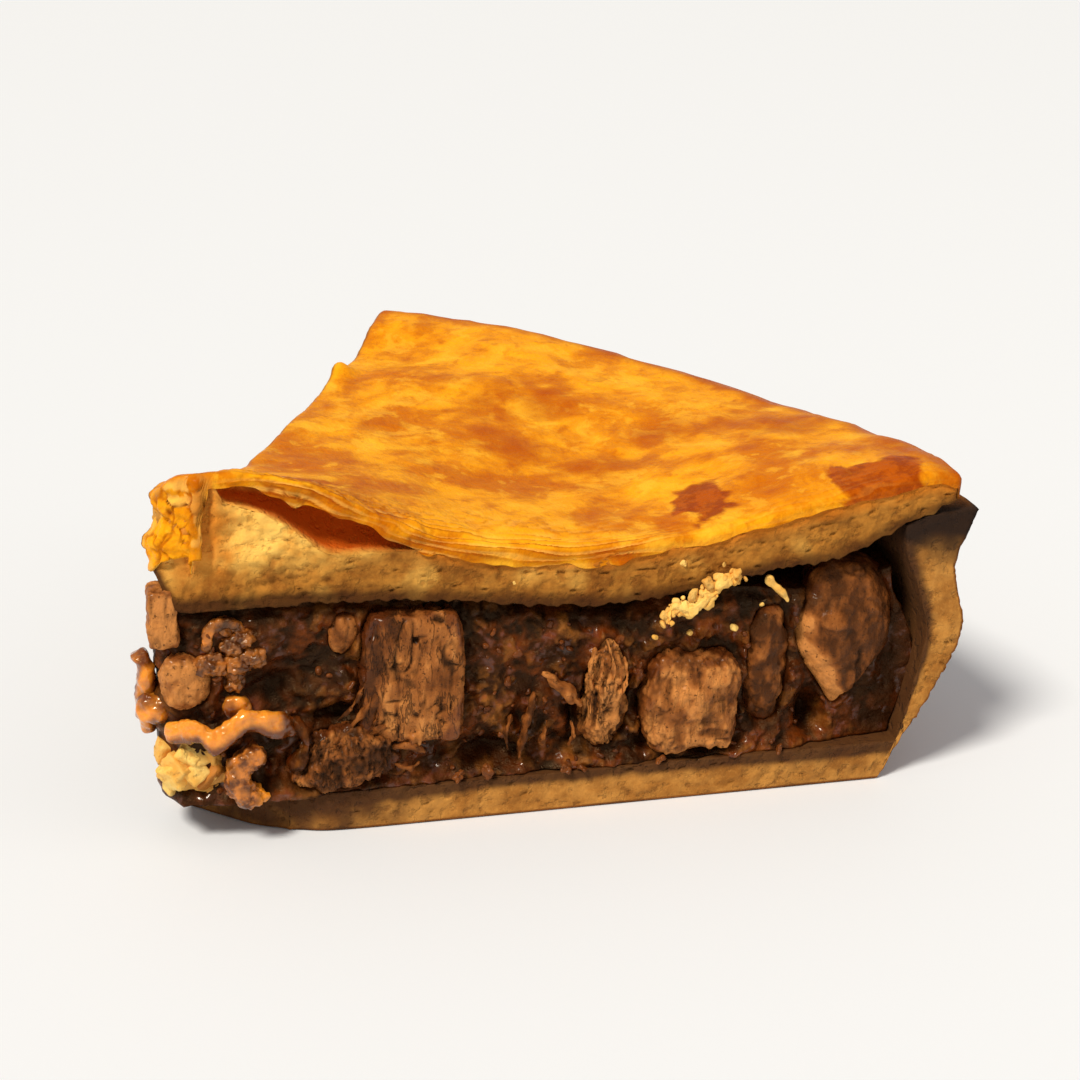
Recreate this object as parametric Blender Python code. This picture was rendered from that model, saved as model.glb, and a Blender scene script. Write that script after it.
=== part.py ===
"""A slice of deep beef pie: a shortcrust case, a thick golden lid, and a dark gravy filling set with diced beef.

Lengths are millimetres until a mesh is filled. They are measured from the whole pie's centre, on the table:
the first cut runs out along +X, the second at CUT_ANGLE from it, and the outer wall is an arc about the centre.
The slice's point is blunt and crumbled, so each layer has its own nose, a little way off the centre.
"""

import math

import bmesh
import bpy
from mathutils import Euler, Vector, noise

MM = 0.001
PIE_CENTRE = Vector((-55.8, -52.8, 0.0))  # puts the slice's box centre on the origin

# The whole pie
CUT_ANGLE = math.radians(67)
SECOND_INWARD = Vector((math.sin(CUT_ANGLE), -math.cos(CUT_ANGLE)))  # from the second cut into the slice
RIM_HEIGHT = 48.0
RIM_RADIUS = 115.4
RIM_WAVE = 1.95
RIM_FALL = math.radians(28)  # turn over which the rim falls from its front crest, before it rises again
RIM_RISE = math.radians(39)
FIT_GAP = 0.35
WALL_GAP = 1.3  # between the gravy and the wall
POCKET_GAP = 0.45  # how far each pocket in the gravy stands off its piece

# The case: the base slab's top, and the wall's inner and outer sides from bottom to top as (radius, height)
BASE_TOP = 6.0
WALL_INSIDE = ((107.4, 6.0), (109.5, 14.0), (111.2, 22.0), (109.9, 28.0), (107.4, 35.0), (107.2, 40.2))
WALL_OUTSIDE = ((104.6, 0.0), (109.4, 8.5), (114.4, 16.5), (116.9, 23.0), (115.2, 32.5), (118.3, 41.0))
WALL_UNEVENNESS = 0.7

# The lid
LID_SAG = 6.3
LID_SAG_RADIUS = 62.0
LID_SAG_WIDTH = 28.0
LEVELLING = 0.85  # share of the sag that is gone at the second cut
BACK_DENT = 2.6
BACK_DENT_RADIUS = 94.0
BACK_DENT_WIDTH = 9.0
RIM_ROLL_START = 111.0  # radius past which the skin rolls over the rim
RIM_ROLL = 0.08
NOSE_ROLL = 0.2
DOME_HEIGHT = 9.3
DOME_CENTRE = (6.0, -6.0)
DOME_WIDTHS = (26.0, 20.0)
UNDERSIDE_HEIGHT = 36.2
UNDERSIDE_SAG = 3.8
UNDERSIDE_SAG_WIDTH = 22.0
UNDERSIDE_RIM_LIFT = 7.4
NOSE_LIFT = 7.0
SKIN = 1.6
LIP_DROOP = 0.6  # how far the skin bends down over the front cut, with more of it by the blister and the rim
LIP_DROOP_WIDTH = 4.0
BLISTER_DROOP = 1.6
BLISTER_DROOP_AT = (36.0, 14.0)  # its middle along the cut, and its width
RIM_DROOP = 3.0
RIM_DROOP_AT = (99.0, 16.0)
RIPPLE = 0.45

# The three noses: each a curve from the first cut, through a pull point, to the second cut
LID_NOSE = ((1.5, 0.0), (-3.9, 1.2), (-3.1, 6.4))
FILLING_NOSE = ((2.0, 1.0), (-4.4, 2.5), (-3.6, 8.5))
BASE_NOSE = ((13.6, 0.3), (8.0, 5.5), (-1.5, 14.5))
NOSE_REACH = 30.0  # radius past which a layer's edges run true along the cuts
POLAR_START = 8.0


# ---- Measures of the pie ------------------------------------------------------------------------


def smooth(low, high, value):
    """0 below low, 1 above high and an S-curve between them."""
    share = min(1.0, max(0.0, (value - low) / (high - low)))
    return share * share * (3 - 2 * share)


def bell(value, centre, width):
    return math.exp(-(((value - centre) / width) ** 2))


def along_points(points, share):
    """The point at a share, 0 to 1, of the way along a smooth curve that passes through each point in turn."""
    last = len(points) - 1
    index = min(int(share * last), last - 1)
    part = share * last - index
    near = [Vector(points[min(max(index + step, 0), last)]) for step in (-1, 0, 1, 2)]
    before, start, end, after = near
    slope = (end - before) * part
    bend = (2 * before - 5 * start + 4 * end - after) * part**2
    twist = (3 * start - 3 * end + after - before) * part**3
    return start + (slope + bend + twist) / 2


def pull_curve(points, share):
    """A quadratic curve from the first point to the last, drawn towards the middle one."""
    start, pull, end = (Vector(point) for point in points)
    return start.lerp(pull, share).lerp(pull.lerp(end, share), share)


def uneven(point, size, height):
    """A smooth random height over a point, with lumps of about that size."""
    return height * noise.noise(Vector(point) / size)


def rim_wave(x, y):
    """The rim's rise and dip on its way round, which fades towards the middle."""
    angle = math.atan2(y, x)
    phase = angle / RIM_FALL if angle < RIM_FALL else 1 + (angle - RIM_FALL) / RIM_RISE
    return RIM_WAVE * math.cos(math.pi * phase) * smooth(60, 110, math.hypot(x, y))


def ripple(x, y):
    """The skin's gentle unevenness: a slow swell and a quicker one, each bent across its own way."""
    slow = math.sin(x / 8.0 + 1.2 * math.sin(y / 9.0)) * math.cos(y / 11.0 + 0.8 * math.sin(x / 13.0))
    quick = math.sin(x / 3.4 + 1.5 * math.sin(y / 5.0)) * math.cos(y / 3.9 + 1.3 * math.sin(x / 6.0))
    return RIPPLE * (slow + 0.4 * quick)


def lid_top(x, y):
    """The golden skin: level at the rim, sagging half way in, domed over the slice's point, rolled at the edge."""
    radius = math.hypot(x, y)
    turn = math.atan2(y, x) / CUT_ANGLE
    sag = LID_SAG * bell(radius, LID_SAG_RADIUS, LID_SAG_WIDTH) * (1 - LEVELLING * smooth(0.3, 1, turn))
    sag += BACK_DENT * bell(radius, BACK_DENT_RADIUS, BACK_DENT_WIDTH) * smooth(0.7, 1, turn)
    dome = DOME_HEIGHT * bell(x, DOME_CENTRE[0], DOME_WIDTHS[0]) * bell(y, DOME_CENTRE[1], DOME_WIDTHS[1])
    roll = RIM_ROLL * max(0.0, radius - RIM_ROLL_START) ** 2
    nose_roll = NOSE_ROLL * max(0.0, 1.5 - x) ** 2 * bell(y, 2.0, 9.0)
    droop = LIP_DROOP + BLISTER_DROOP * bell(x, *BLISTER_DROOP_AT) + RIM_DROOP * bell(x, *RIM_DROOP_AT)
    lip = droop * smooth(18, 30, x) * math.exp(-max(y, 0.0) / LIP_DROOP_WIDTH)
    return RIM_HEIGHT + rim_wave(x, y) + dome - sag - roll - nose_roll - lip + ripple(x, y)


def lid_underside(x, y):
    """The lid's lower face, which the filling lies under and the wall's top meets."""
    radius = math.hypot(x, y)
    sag = UNDERSIDE_SAG * bell(radius, LID_SAG_RADIUS, UNDERSIDE_SAG_WIDTH)
    lift = UNDERSIDE_RIM_LIFT * smooth(94, 118, radius)
    nose = NOSE_LIFT * (1 - smooth(-3, 7, x)) * bell(y, 0.0, 15.0)
    return UNDERSIDE_HEIGHT + 0.5 * rim_wave(x, y) - sag + lift + nose


def cut_point(cut, along, depth, height):
    """A place given from a cut: how far out along it, how deep behind its face, and how high."""
    if cut == "front":
        return Vector((along, depth, height))
    out = Vector((math.cos(CUT_ANGLE), math.sin(CUT_ANGLE)))
    return (out * along + SECOND_INWARD * depth).to_3d() + Vector((0, 0, height))


def on_plan(radius, turn, nose):
    """The plan point at a radius and a share of the turn between the cuts, drawn over to the layer's nose."""
    angle = CUT_ANGLE * turn
    ray = Vector((math.cos(angle), math.sin(angle)))
    shift = pull_curve(nose, turn) - ray * POLAR_START
    return ray * radius + shift * (1 - smooth(POLAR_START, NOSE_REACH, radius))


DRAG_DEPTH = 5.0  # how far behind a cut its crumbliness dies away


def knife_drag(plan, height, amount, lump):
    """Moves a plan point in or out across the nearer cut, so that the cut faces are crumbly and not flat."""
    behind_first = max(plan.y, 0)
    behind_second = max(plan @ SECOND_INWARD, 0)
    drag = uneven((plan.x, 40, height), lump, amount) * math.exp(-behind_first / DRAG_DEPTH)
    drag_back = uneven((plan.x + plan.y, 90, height), lump, amount) * math.exp(-behind_second / DRAG_DEPTH)
    return plan + Vector((0, drag)) + SECOND_INWARD * drag_back


# ---- Making solids ------------------------------------------------------------------------------


def collection_named(name, shown):
    collection = bpy.data.collections.new(name)
    collection.hide_render = not shown
    bpy.context.scene.collection.children.link(collection)
    return collection


def material_named(name, colour, roughness):
    material = bpy.data.materials.new(name)
    material.use_nodes = True
    shader = material.node_tree.nodes["Principled BSDF"]
    shader.inputs["Base Color"].default_value = (*colour, 1)
    shader.inputs["Roughness"].default_value = roughness
    material.diffuse_color = (*colour, 1)
    return material


def gridded_cube(cells):
    """A closed unit cube from corner (0, 0, 0), cut into this many cells along x, y and z."""
    bm = bmesh.new()
    bmesh.ops.create_cube(bm, size=1.0)
    for axis, count in enumerate(cells):
        along = [edge for edge in bm.edges if abs(edge.verts[0].co[axis] - edge.verts[1].co[axis]) > 0.5]
        if count > 1:
            bmesh.ops.subdivide_edges(bm, edges=along, cuts=count - 1, use_grid_fill=True)
    bmesh.ops.translate(bm, vec=(0.5, 0.5, 0.5), verts=bm.verts)
    return bm


def solid(name, bm, place, material, collection, grow=0.0):
    """Carries each point of bm to place(point), in millimetres, grows the shape outwards and makes its object."""
    for vertex in bm.verts:
        vertex.co = place(vertex.co.copy())
    if bm.calc_volume(signed=True) < 0:
        bmesh.ops.reverse_faces(bm, faces=bm.faces)
    bmesh.ops.triangulate(bm, faces=bm.faces)  # so that a piece and its pocket bend along the same edges
    if grow:
        bm.normal_update()
        for vertex, way in [(vertex, vertex.normal.copy()) for vertex in bm.verts]:
            vertex.co += way * grow
    for vertex in bm.verts:
        vertex.co = (vertex.co + PIE_CENTRE) * MM
    mesh = bpy.data.meshes.new(name)
    bm.to_mesh(mesh)
    bm.free()
    mesh.shade_smooth()
    mesh.set_sharp_from_angle(angle=math.radians(40))
    mesh.materials.append(material)
    made = bpy.data.objects.new(name, mesh)
    collection.objects.link(made)
    return made


def boolean(target, other, operation):
    modifier = target.modifiers.new(operation.lower() + "_" + other.name, "BOOLEAN")
    modifier.operation = operation
    modifier.object = other


def apply_cuts(target):
    """Applies the target's cuts and keeps its largest body, without the loose scraps that a cut can leave."""
    graph = bpy.context.evaluated_depsgraph_get()
    cut = bpy.data.meshes.new_from_object(target.evaluated_get(graph))
    target.modifiers.clear()
    bm = bmesh.new()
    bm.from_mesh(cut)
    left = set(bm.faces)
    bodies = []
    while left:
        body = [left.pop()]
        for face in body:
            joined = {other for edge in face.edges for other in edge.link_faces} & left
            left -= joined
            body.extend(joined)
        bodies.append(body)
    bodies.sort(key=len)
    for scrap in bodies[:-1]:
        bmesh.ops.delete(bm, geom=scrap, context="FACES")
    bm.to_mesh(cut)
    bm.free()
    target.data = cut


# ---- The case and the lid -----------------------------------------------------------------------

CASE_CELLS = (28, 16, 1)
BASE_SHARE = 19 / 28  # share of the case's length, from nose to rim, that is its base
LID_CELLS = (32, 18, 3)
NOSE_SWELL = 2.0
RIM_SWELL = 0.8
LID_DRAG = 1.1
CASE_DRAG = 0.9


def case_place(point):
    """Bends a slab into the case: along the base from the nose, round the corner and up the leaning wall."""
    length, turn, depth = point
    if length <= BASE_SHARE:
        share = length / BASE_SHARE
        reach = (1 - depth) * WALL_INSIDE[0][0] + depth * WALL_OUTSIDE[0][0]
        radius = POLAR_START + share * (reach - POLAR_START)
        height = (1 - depth) * BASE_TOP
    else:
        share = (length - BASE_SHARE) / (1 - BASE_SHARE)
        inside, outside = along_points(WALL_INSIDE, share), along_points(WALL_OUTSIDE, share)
        radius, height = inside.lerp(outside, depth)
    plan = on_plan(radius, turn, BASE_NOSE)
    if depth == 1 and length > BASE_SHARE:
        plan *= 1 + uneven((plan.x, plan.y, height), 12.0, WALL_UNEVENNESS) / RIM_RADIUS
    plan = knife_drag(plan, height, CASE_DRAG, 7.0)
    height += rim_wave(*plan) * smooth(6, 34, height)
    if height > 0 and length > BASE_SHARE:
        height = min(height, lid_underside(*plan) - FIT_GAP)
    return Vector((plan.x, plan.y, height))


def lid_place(point):
    """Lays a slab over the filling from the nose to the rim, with the lid's own top and underside."""
    length, turn, lift = point
    radius = POLAR_START + length * (RIM_RADIUS - POLAR_START)
    plan = on_plan(radius, turn, LID_NOSE)
    swell = math.sin(math.pi * lift)
    if length == 0:
        plan += Vector((-NOSE_SWELL * swell, 0))
    if length == 1:
        plan *= 1 + RIM_SWELL * swell / RIM_RADIUS
    plan = knife_drag(plan, 40 + 8 * lift, LID_DRAG, 6.0)
    low, high = lid_underside(*plan), lid_top(*plan)
    return Vector((plan.x, plan.y, low + lift * (high - low)))


BLISTER_DEPTH = 9.0
BLISTER_FRONT = -4.0  # where the cutter starts, clear of the lid's front face
BLISTER_ENDS = (0.12, 0.92)  # the stretch of a half sine that its depth follows, from nose to rim
# The crumb's upper edge along the front cut, under the lifted skin, as (distance from the centre, height)
CRUMB_EDGE = ((5.5, 52.4), (10.7, 50.8), (16.0, 47.6), (21.2, 43.6), (26.5, 43.2), (31.7, 43.1), (37.0, 42.9))


def blister_place(point):
    """The hollow where the skin has lifted off the crumb: a lens open at the front cut, closing to a thin edge."""
    share, back, lift = point
    x, edge = along_points(CRUMB_EDGE, share)
    phase = BLISTER_ENDS[0] + share * (BLISTER_ENDS[1] - BLISTER_ENDS[0])
    deepest = BLISTER_DEPTH * math.sin(math.pi * phase) ** 0.6
    y = BLISTER_FRONT + back * (deepest - BLISTER_FRONT)
    floor = edge + 0.1 * max(y, 0)
    roof = max(lid_top(x, max(y, 0)) - SKIN, floor + 0.6)
    closing = 1 - 0.75 * back**3
    middle = (floor + roof) / 2
    return Vector((x, y, middle + (lift - 0.5) * (roof - floor) * closing))


# ---- The filling --------------------------------------------------------------------------------

FILLING_CELLS = (24, 11, 5)
FILLING_DRAG = 3.2
FACE_RECESS = 2.0
WALL_RECESS = 3.0  # how much further back the gravy's front face lies by the wall
SHRINK_GAP = 7.5  # how far the gravy has sunk from the lid by the wall, at the front cut


def filling_place(point):
    """The gravy mass: from base to lid and nose to wall, drawn back behind the pastry's cut faces, and lumpy."""
    length, turn, lift = point
    floor = BASE_TOP + FIT_GAP
    wall = along_points(WALL_INSIDE, 0.02 + 0.9 * lift)
    radius = POLAR_START + length * (wall.x - WALL_GAP - POLAR_START)
    plan = on_plan(radius, turn, FILLING_NOSE)
    recess = Vector((0, 1)) * (1 - smooth(0, 0.45, turn)) + SECOND_INWARD * smooth(0.55, 1, turn)
    front = 1 - smooth(0, 0.25, turn)
    plan += recess * (FACE_RECESS * smooth(8, 30, radius) + WALL_RECESS * front * smooth(92, 104, radius))
    plan = knife_drag(plan, floor + 26 * lift, FILLING_DRAG, 6.8)
    sunk = SHRINK_GAP * front * smooth(66, 110, radius)
    roof = lid_underside(*plan) - 2 * FIT_GAP - sunk
    return Vector((plan.x, plan.y, floor + lift * (roof - floor)))


# Each piece of beef: the cut it shows on, its middle (along, behind and above), its size the same way,
# its lean in degrees, how square it is (2 round, 8 a block) and how ragged in millimetres
BEEF = {
    "beef_large_dice": ("front", (32.9, 5.2, 23.2), (15.6, 12.5, 20.6), 3, 7.0, 0.5),
    "beef_low_shred": ("front", (22.6, 3.4, 11.6), (17.0, 11.0, 9.0), -6, 3.5, 0.8),
    "beef_small_piece": ("front", (23.0, 3.0, 30.2), (3.9, 4.2, 6.4), 10, 3.0, 0.3),
    "beef_ragged_piece": ("front", (61.9, 4.2, 17.4), (7.6, 9.0, 18.0), 4, 3.0, 0.9),
    "beef_round_dice": ("front", (75.0, 4.8, 15.2), (15.4, 12.0, 16.4), 0, 4.0, 0.7),
    "beef_smooth_column": ("front", (86.8, 5.4, 19.6), (6.6, 9.5, 20.0), 2, 4.0, 0.5),
    "beef_pointed_piece": ("front", (99.0, 6.4, 23.4), (16.2, 12.6, 24.0), 6, 2.6, 0.7),
    "beef_nose_slab": ("front", (-2.2, 3.4, 34.9), (4.3, 6.0, 8.6), 0, 7.0, 0.3),
    "beef_nose_ball": ("front", (0.4, 3.0, 25.2), (7.8, 7.6, 8.6), 0, 2.4, 0.4),
    "beef_back_end": ("back", (26.0, 5.0, 17.0), (13.0, 10.5, 15.0), -5, 4.5, 0.8),
    "beef_back_high": ("back", (44.0, 4.6, 25.4), (15.0, 11.0, 13.0), 8, 3.5, 0.8),
    "beef_back_low": ("back", (60.5, 4.6, 14.0), (14.0, 11.0, 13.0), 4, 5.0, 0.8),
    "beef_back_tall": ("back", (79.0, 5.0, 20.8), (14.0, 11.5, 19.0), -4, 4.0, 0.8),
    "beef_back_rim": ("back", (96.0, 4.8, 15.2), (12.0, 10.0, 14.0), 6, 3.5, 0.8),
}
BEEF_CELLS = (4, 4, 4)
TRIMMED = (("beef_low_shred", "beef_large_dice"),)  # a piece and the neighbour that presses into it


def rounded(point, squareness):
    """Presses a cube's surface point, from -1 to 1, onto a rounded block of that squareness."""
    return point / sum(abs(value) ** squareness for value in point) ** (1 / squareness)


def torn_place(cut, middle, size, lean, squareness, ragged):
    """The place function of one torn piece: a rounded block, leaned over, with an uneven surface."""
    turn = Euler((0, math.radians(lean), 0)).to_matrix()

    def place(point):
        block = rounded((point - Vector((0.5, 0.5, 0.5))) * 2, squareness)
        wobble = 1 + 2 * uneven((block * 9 + Vector(middle) * 5), 5.0, ragged) / min(size)
        offset = turn @ Vector(block[axis] * size[axis] / 2 * wobble for axis in range(3))
        return cut_point(cut, *(Vector(middle) + offset))

    return place


HANGING_CRUMB = ("front", (75.6, -2.1, 33.4), (12.4, 2.0, 4.4), -22, 3.0, 0.8)

# The middle line of the onion strip, in from the left over the pastry lump
ONION_LINE = (
    (-2.6, 1.0, 17.4),
    (1.4, -1.4, 18.7),
    (4.0, -2.4, 17.2),
    (8.9, -1.8, 19.8),
    (12.4, -1.4, 18.4),
    (16.2, 0.4, 17.2),
)
ONION_HEIGHT = 3.6
ONION_THICKNESS = 2.0


def onion_place(point):
    """A strip of soft onion laid in waves across the blunt nose."""
    share, back, lift = point
    tall = ONION_HEIGHT * (1 - 0.25 * abs(2 * share - 1) ** 3)
    return along_points(ONION_LINE, share) + Vector((0, (back - 0.5) * ONION_THICKNESS, (lift - 0.5) * tall))


JELLY_MIDDLE = (-4.9, 7.0, 21.8)
JELLY_SIZE = (3.0, 6.4, 13.2)
JELLY_SPIKE = 1.1
JELLY_SPIKE_HEIGHT = 27.4


def jelly_place(point):
    """A soft lump of onion and jellied gravy at the slice's far left, with a spike drawn out near its top."""
    block = rounded((point - Vector((0.5, 0.5, 0.5))) * 2, 2.6)
    wobble = 1 + uneven(block * 7, 5.0, 0.25)
    x, y, z = (JELLY_MIDDLE[axis] + block[axis] * wobble * JELLY_SIZE[axis] / 2 for axis in range(3))
    spike = JELLY_SPIKE * bell(z, JELLY_SPIKE_HEIGHT, 1.0) * max(0.0, -block.x)
    return Vector((x - spike, y, z))


CURL_MIDDLE = (9.8, -1.6, 10.8)
CURL_RADIUS = 2.9
CURL_THICKNESS = 3.7
CURL_START = math.radians(62)
CURL_TURN = math.radians(235)


def curl_place(point):
    """A torn scrap of beef curled over in a hook, open to the right."""
    share, back, lift = point
    angle = CURL_START + CURL_TURN * share
    thick = CURL_THICKNESS * (0.72 + 0.28 * math.sin(math.pi * share))
    corner = Vector((2 * back - 1, 2 * lift - 1, 0))
    if corner.length:
        corner = rounded(corner, 3.0)
    radius = CURL_RADIUS + corner.y * thick / 2 * (1 + uneven((share * 9, back, lift), 1.5, 0.2))
    middle = Vector(CURL_MIDDLE)
    return middle + Vector((math.cos(angle) * radius, corner.x * thick / 2, math.sin(angle) * radius * 1.05))


PASTRY_LUMP = ("front", (1.0, 4.2, 11.0), (9.4, 8.0, 8.4), 0, 3.4, 1.2)


def main():
    for old in list(bpy.data.objects):
        bpy.data.objects.remove(old)
    parts = collection_named("beef_pie_slice", shown=True)
    cutters = collection_named("cutters", shown=False)
    crust = material_named("golden_crust", (0.78, 0.36, 0.05), 0.4)
    pastry = material_named("baked_pastry", (0.62, 0.42, 0.16), 0.8)
    gravy = material_named("beef_gravy", (0.10, 0.035, 0.010), 0.3)
    beef = material_named("stewed_beef", (0.27, 0.12, 0.05), 0.6)
    onion = material_named("soft_onion", (0.60, 0.26, 0.06), 0.35)

    solid("case", gridded_cube(CASE_CELLS), case_place, pastry, parts)
    lid = solid("lid", gridded_cube(LID_CELLS), lid_place, crust, parts)
    blister = solid("blister_cutter", gridded_cube((12, 5, 2)), blister_place, crust, cutters)
    boolean(lid, blister, "DIFFERENCE")

    filling = solid("filling", gridded_cube(FILLING_CELLS), filling_place, gravy, parts)
    pieces = {name: (BEEF_CELLS, torn_place(*sizes), beef) for name, sizes in BEEF.items()}
    pieces["onion_strip"] = ((10, 1, 2), onion_place, onion)
    pieces["onion_jelly"] = ((3, 4, 7), jelly_place, onion)
    pieces["beef_curl"] = ((9, 2, 2), curl_place, beef)
    pieces["pastry_lump"] = ((4, 3, 3), torn_place(*PASTRY_LUMP), pastry)
    pieces["hanging_crumb"] = ((6, 2, 3), torn_place(*HANGING_CRUMB), pastry)
    for name, (cells, place, material) in pieces.items():
        solid(name, gridded_cube(cells), place, material, parts)
        pocket = solid(name + "_pocket", gridded_cube(cells), place, material, cutters, grow=POCKET_GAP)
        boolean(filling, pocket, "DIFFERENCE")
    for name, neighbour in TRIMMED:
        boolean(parts.objects[name], cutters.objects[neighbour + "_pocket"], "DIFFERENCE")
    apply_cuts(filling)
    for cutter in cutters.objects:
        cutter.hide_render = True
        cutter.display_type = "WIRE"


main()
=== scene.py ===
"""A slice of deep beef pie: crumbly shortcrust, a glazed golden lid, wet dark gravy and stewed beef.

Lengths are millimetres from the whole pie's centre, on the table, as in the part's source: the front cut runs
out along +X and the second cut lies 67 degrees round from it. They become metres when a mesh is filled.
"""

import math

import bpy
import numpy as np
from mathutils import Euler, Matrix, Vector


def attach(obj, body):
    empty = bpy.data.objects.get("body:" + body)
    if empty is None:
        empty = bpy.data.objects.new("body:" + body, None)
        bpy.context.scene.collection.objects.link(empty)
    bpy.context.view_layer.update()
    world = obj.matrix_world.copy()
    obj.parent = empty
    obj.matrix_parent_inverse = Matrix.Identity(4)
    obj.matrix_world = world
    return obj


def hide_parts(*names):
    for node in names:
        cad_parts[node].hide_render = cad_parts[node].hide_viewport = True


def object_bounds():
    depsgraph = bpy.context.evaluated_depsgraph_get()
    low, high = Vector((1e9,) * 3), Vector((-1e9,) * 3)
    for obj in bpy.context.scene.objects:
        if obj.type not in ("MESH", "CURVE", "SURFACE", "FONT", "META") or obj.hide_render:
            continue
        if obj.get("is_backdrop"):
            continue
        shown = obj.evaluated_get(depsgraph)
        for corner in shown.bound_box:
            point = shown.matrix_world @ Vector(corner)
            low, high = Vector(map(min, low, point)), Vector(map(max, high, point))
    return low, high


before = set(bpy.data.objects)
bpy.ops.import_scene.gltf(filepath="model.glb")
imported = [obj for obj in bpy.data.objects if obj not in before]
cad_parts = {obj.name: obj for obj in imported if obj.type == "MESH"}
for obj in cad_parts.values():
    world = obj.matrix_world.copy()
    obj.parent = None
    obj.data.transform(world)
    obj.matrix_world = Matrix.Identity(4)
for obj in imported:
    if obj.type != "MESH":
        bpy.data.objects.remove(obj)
cad_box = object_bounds()


# ==== The case ===================================================================================
# A sheet of shortcrust rolled out, laid in the tin and pressed up its leaning side. It baked pale inside and
# brown against the tin. The knife left its cut edges crumbly, and gravy has soaked into them at the left.

MM = 0.001
# Moves the pie's centre so that the slice's box stands on the origin
PIE_CENTRE = np.array((-55.8, -52.8, 0.0))
CUT_ANGLE = math.radians(67)
SECOND_INWARD = np.array((math.sin(CUT_ANGLE), -math.cos(CUT_ANGLE)))
POLAR_START = 8.0  # radius at which each layer's own nose begins
NOSE_REACH = 30.0  # radius past which a layer's edges run true along the cuts
BASE_TOP = 6.0
BASE_NOSE = ((13.6, 0.3), (8.0, 5.5), (-1.5, 14.5))
WALL_INSIDE = ((107.4, 6.0), (109.5, 14.0), (111.2, 22.0), (109.9, 28.0), (107.4, 35.0), (107.2, 40.2))
WALL_OUTSIDE = ((104.6, 0.0), (109.4, 8.5), (114.4, 16.5), (116.9, 23.0), (115.2, 32.5), (118.3, 41.0))
RIM_WAVE = 1.95
RIM_WAVE_RADII = (60, 110)
RIM_FALL = math.radians(28)
RIM_RISE = math.radians(39)
UNDERSIDE_HEIGHT = 36.2
UNDERSIDE_SAG = 3.8
UNDERSIDE_SAG_WIDTH = 22.0
UNDERSIDE_RIM_LIFT = 7.4
UNDERSIDE_RIM_RADII = (94, 118)
LID_SAG_RADIUS = 62.0
NOSE_LIFT = 7.0
NOSE_LIFT_ENDS = (-4.6, 0.4)
NOSE_LIFT_WIDTH = 15.0


def smooth(low, high, value):
    """0 below low, 1 above high and an S-curve between them."""
    share = np.clip((value - low) / (high - low), 0.0, 1.0)
    return share * share * (3 - 2 * share)


def bell(value, centre, width):
    """1 at the centre, falling off on both sides as a bell of that width."""
    return np.exp(-(((value - centre) / width) ** 2))


CHANCE_PRIMES = (374761393, 668265263, 2246822519, 3266489917, 1274126177)
CHANCE_BITS = 0xFFFFFF
SWELL_GAIN = 1.7  # brings the blended slopes up to about -1 to 1
FARTHEST = 9.0  # more sizes away than any point of a cell round it


def chance(cell, seed):
    """A repeatable number from 0 to 1 for each cell: its three whole numbers and the seed are each
    multiplied by a prime and summed, then twice folded over and multiplied again, and the lowest bits are
    kept."""
    first, second, third, fourth, fifth = CHANCE_PRIMES
    mixed_up = cell[..., 0] * first + cell[..., 1] * second + cell[..., 2] * third + seed * fourth
    mixed_up = (mixed_up ^ (mixed_up >> 13)) * fifth
    mixed_up = (mixed_up ^ (mixed_up >> 15)) * second
    return ((mixed_up ^ (mixed_up >> 16)) & CHANCE_BITS) / CHANCE_BITS


def swell(points, size, seed):
    """Smooth noise from about -1 to 1: random slopes at the corners of a lattice of that size, blended
    between them by a curve that is level at both ends."""
    scaled = points / size
    cell = np.floor(scaled).astype(np.int64)
    inner = scaled - cell
    blend = inner**3 * (inner * (inner * 6 - 15) + 10)
    total = np.zeros(scaled.shape[:-1])
    for step in np.ndindex(2, 2, 2):
        corner = np.array(step)
        slopes = np.stack([chance(cell + corner, seed * 3 + axis) for axis in range(3)], -1) * 2 - 1
        weight = np.prod(np.where(corner == 1, blend, 1 - blend), axis=-1)
        total += weight * ((inner - corner) * slopes).sum(-1)
    return total * SWELL_GAIN


def stones(points, size, seed):
    """Cells round points scattered one to a lattice box of that size: the distance to the nearest one in
    sizes, how much farther the next one is, and a number from 0 to 1 that is the nearest one's own."""
    scaled = points / size
    cell = np.floor(scaled).astype(np.int64)
    nearest = np.full(scaled.shape[:-1], FARTHEST)
    second = nearest.copy()
    own = np.zeros_like(nearest)
    for step in np.ndindex(3, 3, 3):
        box = cell + np.array(step) - 1
        spot = box + np.stack([chance(box, seed * 5 + axis + 1) for axis in range(3)], -1)
        away = np.linalg.norm(scaled - spot, axis=-1)
        closer = away < nearest
        second = np.where(closer, nearest, np.minimum(second, away))
        own = np.where(closer, chance(box, seed * 5), own)
        nearest = np.where(closer, away, nearest)
    return nearest, second - nearest, own


def along_points(points, share):
    """The point at a share, 0 to 1, of the way along a smooth curve that passes through each point in
    turn."""
    points = np.array(points)
    last = len(points) - 1
    index = np.clip((share * last).astype(int), 0, last - 1)
    part = (share * last - index)[..., None]
    before, start, end, after = (points[np.clip(index + step, 0, last)] for step in (-1, 0, 1, 2))
    slope = (end - before) * part
    bend = (2 * before - 5 * start + 4 * end - after) * part**2
    twist = (3 * start - 3 * end + after - before) * part**3
    return start + (slope + bend + twist) / 2


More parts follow.
